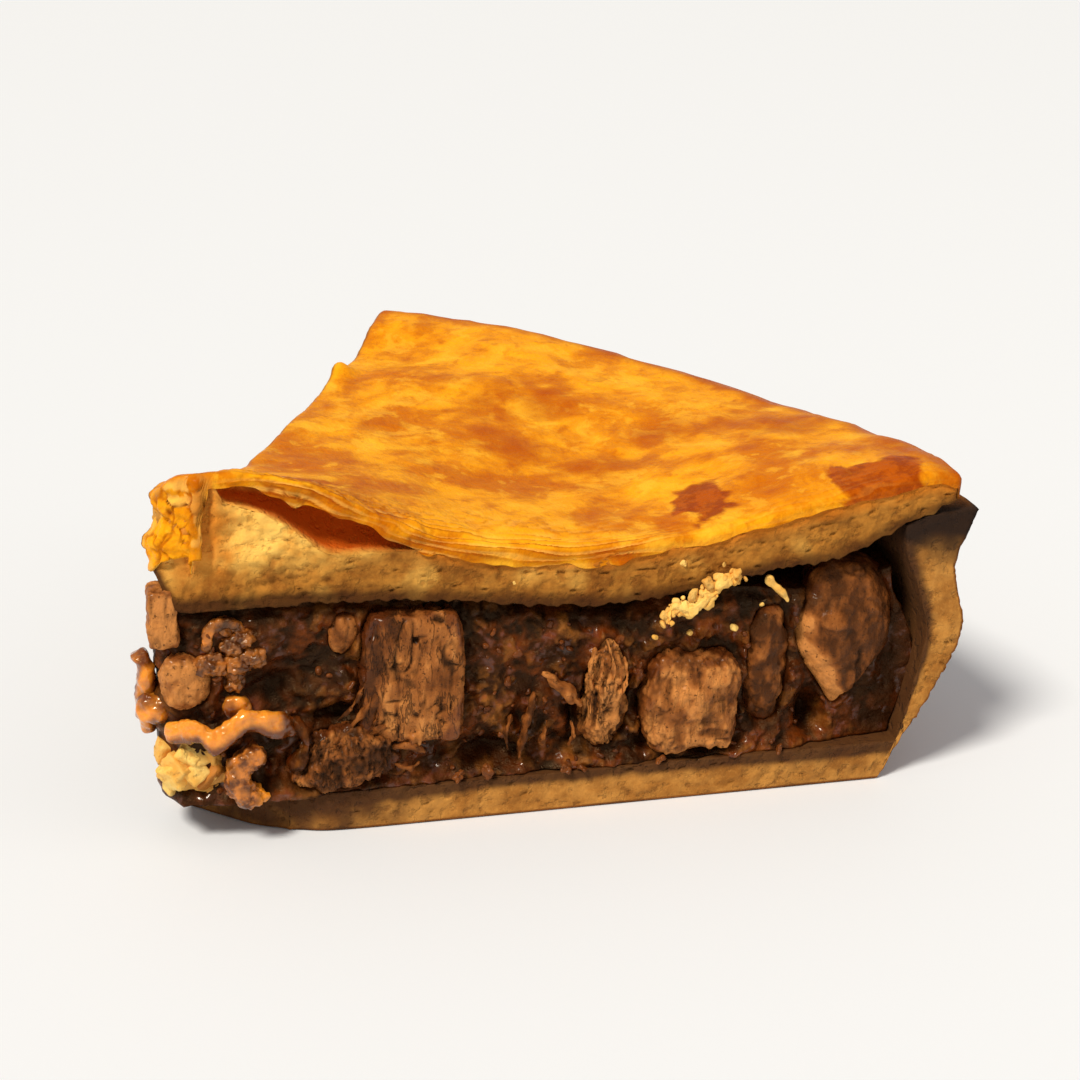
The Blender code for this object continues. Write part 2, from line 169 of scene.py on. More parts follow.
def on_plan(radius, turn, nose):
    """Plan points at a radius and a share of the turn between the cuts. Near the centre they are drawn over
    to the layer's nose, a curve from its first point, pulled towards its second, to its third."""
    angle = CUT_ANGLE * turn
    ray = np.stack((np.cos(angle), np.sin(angle)), -1)
    start, pull, end = (np.array(point) for point in nose)
    across = turn[..., None]
    drawn = (1 - across) ** 2 * start + 2 * across * (1 - across) * pull + across**2 * end
    fade = 1 - smooth(POLAR_START, NOSE_REACH, radius)
    return ray * radius[..., None] + (drawn - ray * POLAR_START) * fade[..., None]


def rim_wave(plan):
    """The rim's rise and dip on its way round: a cosine in the angle, which fades towards the middle."""
    angle = np.arctan2(plan[..., 1], plan[..., 0])
    phase = np.where(angle < RIM_FALL, angle / RIM_FALL, 1 + (angle - RIM_FALL) / RIM_RISE)
    outer = smooth(*RIM_WAVE_RADII, np.hypot(plan[..., 0], plan[..., 1]))
    return RIM_WAVE * np.cos(np.pi * phase) * outer


def lid_underside(plan):
    """The height of the lid's lower face: level, sagging half way in, lifted at the rim and at the nose."""
    radius = np.hypot(plan[..., 0], plan[..., 1])
    sag = UNDERSIDE_SAG * bell(radius, LID_SAG_RADIUS, UNDERSIDE_SAG_WIDTH)
    lift = UNDERSIDE_RIM_LIFT * smooth(*UNDERSIDE_RIM_RADII, radius)
    at_nose = (1 - smooth(*NOSE_LIFT_ENDS, plan[..., 0])) * bell(plan[..., 1], 0.0, NOSE_LIFT_WIDTH)
    return UNDERSIDE_HEIGHT + 0.5 * rim_wave(plan) - sag + lift + NOSE_LIFT * at_nose


def shell(*ways):
    """The surface of a box cut into a grid: for each of its points, the values taken from the three ways,
    and the quads between them, numbered so that all six sides share their edges."""
    counts = [len(way) for way in ways]
    index = np.indices(counts).reshape(3, -1).T
    outer = ((index == 0) | (index == np.array(counts) - 1)).any(axis=1)
    number = (np.cumsum(outer) - 1).reshape(counts)
    quads = []
    for axis in range(3):
        for end in (0, -1):
            side = np.take(number, end, axis=axis)
            loop = np.stack((side[:-1, :-1], side[1:, :-1], side[1:, 1:], side[:-1, 1:]), -1).reshape(-1, 4)
            quads.append(loop if (end == 0) == (axis == 1) else loop[:, ::-1])
    values = [np.asarray(way)[index[outer, axis]] for axis, way in enumerate(ways)]
    return values, np.concatenate(quads)


def facing_out(points, quads):
    """The quads, turned round if the solid that they close has a negative volume."""
    corner = points[quads]
    volume = np.einsum("ij,ij->", corner[:, 0], np.cross(corner[:, 1], corner[:, 2]))
    volume += np.einsum("ij,ij->", corner[:, 0], np.cross(corner[:, 2], corner[:, 3]))
    return quads if volume > 0 else quads[:, ::-1]


def outward(points, quads):
    """Each point's outward way: the sum of its faces' normals, each the cross of the face's diagonals."""
    corner = points[quads]
    face = np.cross(corner[:, 2] - corner[:, 0], corner[:, 3] - corner[:, 1])
    owner = quads.ravel()
    total = np.stack([np.bincount(owner, np.repeat(face[:, axis], 4), len(points)) for axis in range(3)], -1)
    return total / np.maximum(np.linalg.norm(total, axis=-1, keepdims=True), 1e-9)


def fill_mesh(name, points, quads, material, **masks):
    """Makes an object of points in millimetres and quads, kept inside the frame's box. Each mask, one value
    for all or one a point, becomes an attribute."""
    low, high = (np.array(corner) for corner in cad_box)
    placed = np.clip((points + PIE_CENTRE) * MM, low, high)
    mesh = bpy.data.meshes.new(name)
    mesh.vertices.add(len(placed))
    mesh.vertices.foreach_set("co", placed.astype(np.float32).ravel())
    mesh.loops.add(quads.size)
    mesh.loops.foreach_set("vertex_index", quads.astype(np.int32).ravel())
    mesh.polygons.add(len(quads))
    mesh.polygons.foreach_set("loop_start", np.arange(0, quads.size, 4, dtype=np.int32))
    mesh.update(calc_edges=True)
    mesh.validate()
    mesh.shade_smooth()
    for mask, values in masks.items():
        each = np.array(np.broadcast_to(values, len(placed)), dtype=np.float32)
        mesh.attributes.new(mask, "FLOAT", "POINT").data.foreach_set("value", each)
    mesh.materials.append(material)
    piece = bpy.data.objects.new(name, mesh)
    bpy.context.scene.collection.objects.link(piece)
    return piece


def paint(red, green, blue):
    """An sRGB colour out of 255 as the linear colour that a shader takes: the standard curve, straight near
    black and a power above."""
    shares = [value / 255 for value in (red, green, blue)]
    linear = [share / 12.92 if share <= 0.04045 else ((share + 0.055) / 1.055) ** 2.4 for share in shares]
    return (*linear, 1.0)


def add_node(tree, kind, inputs=None, **settings):
    """Adds a node, gives it its settings, and fills each named input with a value or wires a socket to
    it."""
    node = tree.nodes.new(kind)
    for setting, value in settings.items():
        setattr(node, setting, value)
    for name, value in (inputs or {}).items():
        if isinstance(value, bpy.types.NodeSocket):
            tree.links.new(value, node.inputs[name])
        else:
            node.inputs[name].default_value = value
    return node


def mixed(tree, share, first, second):
    """A colour part of the way, by share, from the first to the second."""
    node = add_node(tree, "ShaderNodeMix", {"Factor": share}, data_type="RGBA")
    for socket, value in ((node.inputs[6], first), (node.inputs[7], second)):
        if isinstance(value, bpy.types.NodeSocket):
            tree.links.new(value, socket)
        else:
            socket.default_value = value
    return node.outputs[2]


def maths(tree, operation, first, second):
    """One sum on two values or sockets."""
    return add_node(tree, "ShaderNodeMath", {0: first, 1: second}, operation=operation).outputs[0]


def ranged(tree, value, low, high, new_low=0.0, new_high=1.0):
    """A value carried from one range to another along an S-curve, and held at its ends."""
    inputs = {"Value": value, "From Min": low, "From Max": high, "To Min": new_low, "To Max": new_high}
    return add_node(tree, "ShaderNodeMapRange", inputs, interpolation_type="SMOOTHSTEP").outputs[0]


def mask_of(tree, name):
    """A mask stored on the mesh."""
    return add_node(tree, "ShaderNodeAttribute", attribute_name=name).outputs["Fac"]


def noise_of(tree, per_metre, detail=4.0, rough=0.55, warp=0.0):
    """Noise over the piece's own coordinates, with that many lumps to the metre."""
    where = add_node(tree, "ShaderNodeTexCoord").outputs["Object"]
    inputs = {"Vector": where, "Scale": per_metre, "Detail": detail, "Roughness": rough, "Distortion": warp}
    return add_node(tree, "ShaderNodeTexNoise", inputs).outputs[0]


def broken_mask(tree, name, noise, share):
    """A mask stored on the mesh plus a share of a noise, which breaks up its edge."""
    return maths(tree, "ADD", mask_of(tree, name), maths(tree, "MULTIPLY", noise, share))


def new_material(name, **fixed):
    """A material with its Principled shader, given the values that are the same all over it."""
    material = bpy.data.materials.new(name)
    material.use_nodes = True
    shader = material.node_tree.nodes["Principled BSDF"]
    for socket, value in fixed.items():
        shader.inputs[socket.replace("_", " ")].default_value = value
    return material, material.node_tree, shader


def wire(tree, shader, **changing):
    """Wires each value that changes over the surface to the shader's socket of that name."""
    for socket, value in changing.items():
        tree.links.new(value, shader.inputs[socket.replace("_", " ")])


def bumped(tree, shader, height, metres):
    """Wires a height, worth that many metres, to the shader's normal."""
    node = add_node(tree, "ShaderNodeBump", {"Height": height, "Distance": metres})
    wire(tree, shader, Normal=node.outputs[0])


def crumb_group():
    """The look of broken shortcrust: pale and dark blotches, fine pores that are darker and sunk, and pale
    specks."""
    group = bpy.data.node_groups.new("broken_crumb", "ShaderNodeTree")
    for name, kind in (("Pale", "NodeSocketColor"), ("Tan", "NodeSocketColor"), ("Pore", "NodeSocketColor")):
        group.interface.new_socket(name, in_out="INPUT", socket_type=kind)
    group.interface.new_socket("Colour", in_out="OUTPUT", socket_type="NodeSocketColor")
    group.interface.new_socket("Height", in_out="OUTPUT", socket_type="NodeSocketFloat")
    given = group.nodes.new("NodeGroupInput").outputs
    blotches = ranged(group, noise_of(group, 150.0, 7.0, 0.68), 0.36, 0.64)
    grains = noise_of(group, 1900.0, 4.0, 0.65)
    holes = noise_of(group, 620.0, 3.0, 0.5)
    body = mixed(group, blotches, given["Tan"], given["Pale"])
    body = mixed(group, ranged(group, grains, 0.5, 0.72, 0.0, 0.35), body, given["Pale"])
    body = mixed(group, ranged(group, holes, 0.42, 0.28, 0.0, 0.5), body, given["Pore"])
    height = maths(group, "ADD", maths(group, "MULTIPLY", grains, 0.6), ranged(group, holes, 0.3, 0.5))
    taken = group.nodes.new("NodeGroupOutput").inputs
    group.links.new(body, taken["Colour"])
    group.links.new(height, taken["Height"])
    return group


BROKEN_CRUMB = crumb_group()


def crumb_look(tree, pale, tan, pore):
    """The broken crumb group with its three colours; gives its colour and its height."""
    node = tree.nodes.new("ShaderNodeGroup")
    node.node_tree = BROKEN_CRUMB
    for name, colour in (("Pale", pale), ("Tan", tan), ("Pore", pore)):
        node.inputs[name].default_value = colour
    return node.outputs["Colour"], node.outputs["Height"]


CRUMB_PALE = paint(200, 140, 64)
CRUMB_TAN = paint(156, 100, 36)
CRUMB_PORE = paint(104, 58, 14)
TIN_BROWN = paint(158, 94, 30)
TIN_DARK = paint(84, 44, 12)
RIM_GOLD = paint(206, 124, 30)
RIM_BLACK = paint(30, 16, 6)
SOAKED_BROWN = paint(66, 34, 9)


def soaked_in_gravy(tree, colour):
    """The colour turned to gravy's brown by a mask of soaking and painted shade, whose edge a noise breaks up."""
    soaked = broken_mask(tree, "soaked", noise_of(tree, 220.0), 0.5)
    return mixed(tree, ranged(tree, soaked, 0.35, 1.05, 0.0, 0.92), colour, SOAKED_BROWN)


pastry_material, tree, shader = new_material("baked_pastry", Roughness=0.82, Specular_IOR_Level=0.25)
crumb, crumb_height = crumb_look(tree, CRUMB_PALE, CRUMB_TAN, CRUMB_PORE)
scorched = ranged(tree, noise_of(tree, 70.0, 5.0, 0.6), 0.38, 0.68, 0.0, 0.6)
baked = mixed(tree, scorched, TIN_BROWN, TIN_DARK)
baked = mixed(tree, mask_of(tree, "rim"), baked, RIM_GOLD)
browned = broken_mask(tree, "browned", noise_of(tree, 300.0), 0.3)
colour = mixed(tree, ranged(tree, browned, 0.35, 0.85), crumb, baked)
colour = soaked_in_gravy(tree, colour)
# Painted shade in black on the rim's front edge and in the knife's crack
colour = mixed(tree, mask_of(tree, "burnt"), colour, RIM_BLACK)
wire(tree, shader, Base_Color=colour)
bumped(tree, shader, crumb_height, 0.00025)


def knife_crumb(points, cut):
    """How far a cut face of pastry stands out, in millimetres: lumps of four sizes, less pores where small
    cells lie close, all in the share that the cut mask gives."""
    lumps = 0.3 * swell(points, 4.2, 1) + 0.2 * swell(points, 1.7, 2) + 0.13 * swell(points, 0.8, 3)
    near, _, own = stones(points * (0.7, 1.0, 1.6), 1.5, 4)
    pores = 0.5 * smooth(0.3, 0.1, near) * smooth(0.6, 0.8, own)
    return cut * (lumps + 0.09 * swell(points, 0.42, 5) - pores)


CASE_ACROSS = 96
CASE_LAYERS = 17
BASE_ROWS = 245
WALL_ROWS = 105
BASE_SHARE = 0.7  # the base's share of the way from the nose to the rim
CROWDING = 0.8  # how much closer the grid's lines lie near the two cuts
WALL_UNDER_LID = 0.3  # the gap over the wall
CORNER_PUSH = np.array((0.5, 0.9))
CORNER_WIDTH = 4.0
CASE_FRAY = 0.7  # how quickly the crumbly cut face fades out behind the knife's cut


def crowded_turns(count):
    """Shares of the turn from the front cut, 0, to the second, 1, drawn towards both by a sine."""
    turns = np.linspace(0, 1, count)
    return turns - CROWDING * np.sin(2 * np.pi * turns) / (2 * np.pi)


base_steps = np.linspace(0, BASE_SHARE, BASE_ROWS)
lengthwise = np.concatenate((base_steps, np.linspace(BASE_SHARE, 1, WALL_ROWS)[1:]))
(length, turn, depth), quads = shell(lengthwise, crowded_turns(CASE_ACROSS), np.linspace(0, 1, CASE_LAYERS))

# Along the base from its nose, then round the corner and up the leaning wall
along_base = np.minimum(length / BASE_SHARE, 1)
reach = WALL_INSIDE[0][0] + depth * (WALL_OUTSIDE[0][0] - WALL_INSIDE[0][0])
up_wall = np.clip((length - BASE_SHARE) / (1 - BASE_SHARE), 0, 1)
inside = along_points(WALL_INSIDE, up_wall)
outside = along_points(WALL_OUTSIDE, up_wall)
wall = inside + (outside - inside) * depth[:, None]
on_wall = length > BASE_SHARE
radius = np.where(on_wall, wall[:, 0], POLAR_START + along_base * (reach - POLAR_START))
height = np.where(on_wall, wall[:, 1], (1 - depth) * BASE_TOP)
plan = on_plan(radius, turn, BASE_NOSE)
height = height + rim_wave(plan) * smooth(6, 34, height)
below_lid = np.minimum(height, lid_underside(plan) - WALL_UNDER_LID)
height = np.where(on_wall & (height > 0), below_lid, height)
# The front left corner is pushed in
from_corner = np.hypot(plan[:, 0] - BASE_NOSE[0][0], plan[:, 1] - BASE_NOSE[0][1])
plan = plan + CORNER_PUSH * (1.5 * bell(from_corner, 0.0, CORNER_WIDTH))[:, None]
points = np.column_stack((plan, height))
quads = facing_out(points, quads)

# The knife's faces and the nose's broken edge are crumbly, the side that lay against the tin nearly smooth
behind = np.minimum(plan[:, 1], plan @ SECOND_INWARD)
on_cut = np.exp(-np.maximum(behind, 0) / CASE_FRAY) * ((turn == 0) | (turn == 1) | (behind < 1.5))
at_nose = np.exp(-length * 100 / 0.8) * (depth > 0) * (depth < 1)
cut = np.maximum(on_cut, at_nose)
tin_side = (1 - cut) * (0.16 * swell(points, 9.0, 5) + 0.07 * swell(points, 2.4, 6))
relief = knife_crumb(points, cut) + tin_side
relief = relief * smooth(0.0, 1.2, points[:, 2])
points = points + outward(points, quads) * relief[:, None]

# The knife's crack up the base, near the nose
CRACK_AT = 14.6
CRACK_WIDTH = 0.5
CRACK_DEPTH = 1.3
crack_line = CRACK_AT + 0.25 * np.sin(points[:, 2] * 1.7)
crack = bell(points[:, 0], crack_line, CRACK_WIDTH) * on_cut * smooth(1.5, 4.0, points[:, 2])
points[:, 1] += CRACK_DEPTH * crack

# Browned by the tin and at the rim, soaked by the gravy at the front left, and soaked and painted with shade on
# its inside. Painted shade darkens the rim's front and the base's cut face towards the right, and is black on the
# rim's edge in front and in the knife's crack
browned = np.maximum(0.85 * smooth(0.9, 1.0, depth), 0.95 * smooth(0.955, 0.985, length))
by_gravy = (1 - smooth(0.0, 0.5, depth)) * np.where(on_wall, 0.85, 1.0)
patchy = 0.75 + 0.5 * swell(points, 3.4, 101)
front_left = (1 - smooth(16, 46, points[:, 0])) * smooth(30, 5, points[:, 1]) * patchy
rim = smooth(0.955, 0.98, length)
near_front = np.exp(-np.maximum(plan[:, 1], 0) / 4.0)
# Painted shade: the base's cut face darker towards the right
base_right = 0.28 * smooth(66, 92, points[:, 0]) * on_cut * ~on_wall
soaked = by_gravy * (1 - rim) + front_left * (1 - smooth(0.5, 1.1, depth) * 0.3) + rim * near_front
soaked = np.clip(soaked + base_right, 0, 1)
# Painted shade: black on the rim's edge in front and down the knife's crack
burnt = 0.9 * smooth(0.92, 0.97, length + 0.012 * swell(points, 3.0, 93)) * np.sqrt(near_front)
burnt = np.maximum(burnt, 0.85 * smooth(0.3, 0.8, crack))
case = fill_mesh(
    "pastry_case",
    points,
    quads,
    pastry_material,
    browned=browned,
    soaked=soaked,
    rim=0.8 * rim,
    burnt=burnt,
)
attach(case, "root")
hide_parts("case")


# ==== The gravy filling ==========================================================================
# Beef stewed to shreds in thick dark gravy, which fills the case from side to side. The knife pulled its
# faces into wet lumps and hollows round every dice of beef, and it has shrunk from the lid and the wall at
# the rim.

# Each piece of beef, as in the part's source: the cut it shows on, its middle (along, behind, above), its
# size the same way, its lean in degrees, how square it is, how ragged, and how much narrower its foot and
# its head are than its middle
BEEF = {
    "beef_large_dice": ("front", (32.9, 5.2, 23.2), (15.6, 12.5, 20.6), 3, 9.0, 0.45, 0.0, 0.12),
    "beef_low_shred": ("front", (22.6, 3.4, 11.6), (17.0, 11.0, 9.0), -6, 3.0, 1.7, 0.0, 0.1),
    "beef_small_piece": ("front", (23.0, 3.0, 30.2), (3.9, 4.2, 6.4), 10, 3.0, 0.8, 0.3, 0.1),
    "beef_ragged_piece": ("front", (61.9, 4.2, 17.4), (7.6, 9.0, 18.0), 4, 2.8, 1.3, 0.1, 0.6),
    "beef_round_dice": ("front", (75.0, 4.8, 15.2), (15.4, 12.0, 16.4), 0, 4.5, 0.85, 0.1, 0.1),
    "beef_smooth_column": ("front", (86.8, 5.4, 19.6), (6.6, 9.5, 20.0), 2, 3.0, 1.2, 0.0, 0.1),
    "beef_pointed_piece": ("front", (99.0, 6.4, 23.4), (16.2, 12.6, 24.0), 6, 2.5, 0.8, 0.9, 0.1),
    "beef_nose_slab": ("front", (-2.2, 3.4, 34.9), (4.3, 6.0, 8.6), 0, 9.0, 0.4, 0.0, 0.05),
    "beef_nose_ball": ("front", (0.4, 3.0, 25.2), (7.8, 7.6, 8.6), 0, 2.6, 1.0, 0.1, 0.1),
    "beef_back_end": ("back", (26.0, 5.0, 17.0), (13.0, 10.5, 15.0), -5, 4.5, 0.8, 0.1, 0.2),
    "beef_back_high": ("back", (44.0, 4.6, 25.4), (15.0, 11.0, 13.0), 8, 3.5, 0.8, 0.2, 0.1),
    "beef_back_low": ("back", (60.5, 4.6, 14.0), (14.0, 11.0, 13.0), 4, 5.0, 0.8, 0.0, 0.2),
    "beef_back_tall": ("back", (79.0, 5.0, 20.8), (14.0, 11.5, 19.0), -4, 6.0, 0.8, 0.2, 0.1),
    "beef_back_rim": ("back", (96.0, 4.8, 15.2), (12.0, 10.0, 14.0), 6, 3.5, 0.8, 0.1, 0.2),
}
FILLING_NOSE = ((2.0, 1.0), (-4.4, 2.5), (-3.6, 8.5))
FACE_RECESS = 2.0
WALL_RECESS = 1.8
WALL_GAP = 0.5
SHRINK_GAP = 7.5
ROOF_GAP = 0.5
FLOOR_GAP = 0.1
NOSE_DRAW_BACK = 2.6
GRAVY_COLUMNS = 380
GRAVY_ROWS = 112
GRAVY_FRAY = 1.5
# Hollows in the front face, painted dark as shade: their place along and above, half width and half height, and
# depth
HOLLOWS = (
    (94.6, 10.6, 2.4, 3.6, 7.0),
    (68.4, 13.0, 1.1, 4.2, 4.5),
    (57.4, 15.0, 1.0, 3.4, 3.0),
    (44.5, 9.8, 6.0, 2.0, 3.4),
    (57.5, 9.6, 3.0, 1.5, 2.6),
    (52.0, 32.6, 9.0, 2.0, 2.2),
    (64.0, 31.0, 8.0, 2.4, 2.6),
    (14.0, 23.5, 5.0, 2.6, 2.4),
    (21.0, 17.6, 4.0, 1.3, 2.6),
    (107.0, 19.0, 2.4, 7.0, 3.0),
)

GRAVY_BLACK = paint(30, 11, 2)
GRAVY_DARK = paint(40, 14, 1)
GRAVY_BROWN = paint(86, 38, 7)
GRAVY_RUST = paint(122, 56, 10)
MEAT_BITS = paint(146, 88, 34)
WARM_SHINE = (1.0, 0.72, 0.42, 1.0)

gravy_material, tree, shader = new_material(
    "beef_gravy", Specular_IOR_Level=0.25, Specular_Tint=WARM_SHINE, Coat_Roughness=0.14, Coat_Tint=WARM_SHINE
)
film = noise_of(tree, 260.0, 5.0, 0.6)
colour = mixed(tree, ranged(tree, film, 0.38, 0.66), GRAVY_DARK, GRAVY_BROWN)
colour = mixed(tree, ranged(tree, noise_of(tree, 130.0, 4.0, 0.6), 0.52, 0.66, 0.0, 0.55), colour, GRAVY_RUST)
shreds = ranged(tree, noise_of(tree, 700.0, 4.0), 0.35, 0.6, 0.3, 1.0)
# Paler shreds of meat, laid most on the lumps' tops as painted light
colour = mixed(tree, maths(tree, "MULTIPLY", mask_of(tree, "meaty"), shreds), colour, MEAT_BITS)
# Painted shade: darker where the gravy lies calm by the wall at the right
colour = mixed(tree, mask_of(tree, "calm"), colour, GRAVY_DARK)
# Painted shade: darkest in the creases and hollows, under the lid and round each piece of beef
colour = mixed(tree, mask_of(tree, "cranny"), colour, GRAVY_BLACK)
wet = ranged(tree, noise_of(tree, 520.0, 3.0), 0.52, 0.66, 0.0, 0.8)
wet = maths(tree, "MULTIPLY", wet, ranged(tree, mask_of(tree, "cranny"), 0.0, 0.5, 1.0, 0.0))
dull = ranged(tree, noise_of(tree, 900.0, 3.0), 0.35, 0.65, 0.24, 0.6)
wire(tree, shader, Base_Color=colour, Roughness=dull, Coat_Weight=wet)
bumped(tree, shader, noise_of(tree, 1500.0, 4.0, 0.6), 0.0003)


def cut_frame(cut):
    """Two ways across the plan from a cut: out along it, and inward from its face."""
    if cut == "front":
        return np.array((1.0, 0.0)), np.array((0.0, 1.0))
    return np.array((math.cos(CUT_ANGLE), math.sin(CUT_ANGLE))), SECOND_INWARD


def slimmed(rise, foot, head):
    """A block's share of its full width at a rise from -1, its foot, to 1, its head: less towards both, each
    by a power."""
    return 1 - foot * np.maximum(-rise, 0) ** 1.4 - head * np.maximum(rise, 0) ** 1.6


def block_share(along, above, middle, size, lean, square, foot, head):
    """How far out from a leaned block's middle a place on its face is: 0 there and 1 on its rounded
    outline."""
    tilt = math.radians(lean)
    aside, up = along - middle[0], above - middle[2]
    rise = 2 * (aside * math.sin(tilt) + up * math.cos(tilt)) / size[2]
    width = size[0] * np.maximum(slimmed(np.clip(rise, -1, 1), foot, head), 0.1)
    across = 2 * (aside * math.cos(tilt) - up * math.sin(tilt)) / width
    return (np.abs(across) ** square + np.abs(rise) ** square) ** (1 / square)


turnwise = np.array((0.0, 0.01, 0.03, 0.07, 0.14, 0.25, 0.4, 0.6, 0.75, 0.86, 0.93, 0.97, 0.99, 1.0))
(length, turn, lift), quads = shell(np.linspace(0, 1, GRAVY_COLUMNS), turnwise, np.linspace(0, 1, GRAVY_ROWS))
floor = BASE_TOP + FLOOR_GAP
wall_radius = along_points(WALL_INSIDE, 0.02 + 0.9 * lift)[:, 0]
radius = POLAR_START + length * (wall_radius - WALL_GAP - POLAR_START)
plan = on_plan(radius, turn, FILLING_NOSE)
toward_front = (1 - smooth(0, 0.45, turn))[:, None]
toward_back = smooth(0.55, 1, turn)[:, None]
near_front = 1 - smooth(0, 0.25, turn)
in_front = turn < 0.3
step_back = FACE_RECESS * smooth(8, 30, radius) + WALL_RECESS * near_front * smooth(92, 104, radius)
plan = plan + (np.array((0.0, 1.0)) * toward_front + SECOND_INWARD * toward_back) * step_back[:, None]
sunk = SHRINK_GAP * near_front * smooth(66, 110, radius)
roof = lid_underside(plan) - ROOF_GAP - sunk
points = np.column_stack((plan, floor + lift * (roof - floor)))
# At the nose's top it draws back from under the lid
points[:, 0] += NOSE_DRAW_BACK * smooth(35.0, 38.0, points[:, 2]) * smooth(4.0, -1.0, points[:, 0])
quads = facing_out(points, quads)
behind = np.minimum(plan[:, 1] - FACE_RECESS, plan @ SECOND_INWARD - FACE_RECESS)
on_cut = np.exp(-np.maximum(behind, 0) / GRAVY_FRAY)
on_cut = np.maximum(on_cut, (length < 0.02) * 1.0)

# Soft wet lumps of four sizes; the low places between them are painted dark as shade, and the highest are
# paler, as shreds of meat and as painted light
lumps = 1.15 * swell(points, 5.6, 11) + 0.75 * swell(points, 2.6, 12) + 0.45 * swell(points, 1.3, 13)
lumps = lumps + 0.2 * swell(points, 0.66, 14)
_, gap, own = stones(points + 0.7 * swell(points, 1.8, 15)[:, None], 2.6, 16)
chunk = smooth(0.6, 0.75, own) * smooth(0.06, 0.3, gap)
inner_edges = 0.35 + 0.65 * smooth(0.0, 0.05, lift) * smooth(1.0, 0.95, lift)
relief = on_cut * (0.8 * lumps + 0.4 * chunk) * inner_edges
cranny = on_cut * smooth(-0.1, -0.85, lumps)
meaty = on_cut * np.maximum(0.55 * chunk, smooth(0.45, 1.1, lumps))
points = points + outward(points, quads) * relief[:, None]
# Each hollow is pushed in and painted dark as shade
for along, above, wide, tall, deep in HOLLOWS:
    pit = bell(points[:, 0], along, wide) * bell(points[:, 2], above, tall) * (in_front * on_cut)
    points[:, 1] += deep * pit
    cranny = np.maximum(cranny, 0.9 * pit)
# Under the lid it steps back and is painted dark as the lid's shade
under_lid = smooth(0.9, 1.0, lift) * in_front
points[:, 1] += 1.6 * under_lid * on_cut
cranny = np.maximum(cranny, 0.7 * under_lid)
# The gravy runs behind each piece of beef and laps up a little round its outline, which is painted dark as shade
for cut, middle, size, lean, square, _, foot, head in BEEF.values():
    out, inward = cut_frame(cut)
    along = points[:, :2] @ out
    depth = points[:, :2] @ inward
    share = block_share(along, points[:, 2], middle, size, lean, square, foot, head)
    facing = (turn < 0.5) if cut == "front" else (turn > 0.5)
    under = smooth(1.02, 0.78, share) * facing * (depth < middle[1] + size[1] / 2)
    lap = bell(share, 1.2, 0.14) * facing * on_cut * smooth(-0.2, 0.5, lumps)
    push = under * np.maximum(middle[1] - depth, 0) - 0.7 * lap
    points[:, :2] += inward * push[:, None]
    cranny = np.maximum(cranny, bell(share, 1.0, 0.07) * facing * on_cut * 0.6)
# It spreads over the base's edge, here more and there less
edgewise = points * (1.0, 0.0, 0.0) + 0.3
spread = 1.5 + 0.9 * swell(edgewise, 4.6, 17) + 0.5 * swell(edgewise, 1.7, 18)
points[:, 1] -= np.clip(spread, 0, FACE_RECESS + 0.3) * smooth(0.09, 0.0, lift) * on_cut * in_front
# By the wall at the right it lies calm, with fewer shreds, and is painted darker as shade
calm = smooth(99, 106, points[:, 0]) * in_front * smooth(34, 26, points[:, 2]) * 0.6
meaty = meaty * (1 - calm) * smooth(10, 22, points[:, 0] + 20 * ~in_front)
cranny = np.clip(cranny, 0, 1)
filling = fill_mesh(
    "gravy_filling", points, quads, gravy_material, meaty=meaty * 0.9, cranny=cranny, calm=calm
)
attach(filling, "root")
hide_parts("filling")
open_face = (lift > 0.05) & (lift < 0.9) & (cranny < 0.3) & (calm < 0.05)
gravy_face = points[(turn == 0) & open_face]
gravy_back = points[(turn == 1) & open_face]


# ==== The beef ===================================================================================
# Shin of beef cut in rough dice and stewed until its bundles of fibre part. Each piece sits in the gravy at
# one of the cuts, sliced or torn, paler and drier where the knife opened it and glazed with gravy round its
# edge.

# Each piece's meat: how far its bundles of fibre lie apart, how deep they crack, how lumpy it is, its tone
# from dark 0 to pale 1, and how much painted light brightens its lower left edge, or below 0 how much painted
# shade darkens its left side
MEAT = {
    "beef_large_dice": (3.0, 1.2, 0.15, 0.7, -1.0),
    "beef_low_shred": (1.1, 0.8, 1.1, 0.3, 0.0),
    "beef_small_piece": (2.5, 0.3, 0.4, 0.3, 0.3),
    "beef_ragged_piece": (1.6, 1.1, 0.6, 0.95, 0.1),
    "beef_round_dice": (2.4, 0.5, 0.6, 0.72, 0.1),
    "beef_smooth_column": (3.0, 0.3, 0.3, 0.14, 0.0),
    "beef_pointed_piece": (4.0, 0.3, 0.25, 0.12, 1.0),
    "beef_nose_slab": (2.0, 0.3, 0.25, 1.3, 0.0),
    "beef_nose_ball": (2.4, 0.1, 0.35, 1.05, 0.0),
    "beef_back_end": (2.8, 1.1, 0.3, 0.6, 0.0),
    "beef_back_high": (3.6, 0.7, 0.4, 0.7, 0.2),
    "beef_back_low": (2.6, 1.0, 0.3, 0.5, 0.1),
    "beef_back_tall": (3.0, 1.2, 0.3, 0.7, 0.0),
    "beef_back_rim": (3.4, 0.7, 0.5, 0.6, 0.1),
}
FINE_CELL = 0.3
FINEST_CELL = 0.22  # on the pieces that are narrower than the next value
SMALL_PIECE = 5.0

BEEF_DARK = paint(74, 37, 12)
BEEF_BROWN = paint(126, 70, 28)
BEEF_TAN = paint(162, 98, 46)
BEEF_PALE = paint(204, 134, 70)
BEEF_CRACK = paint(40, 17, 4)

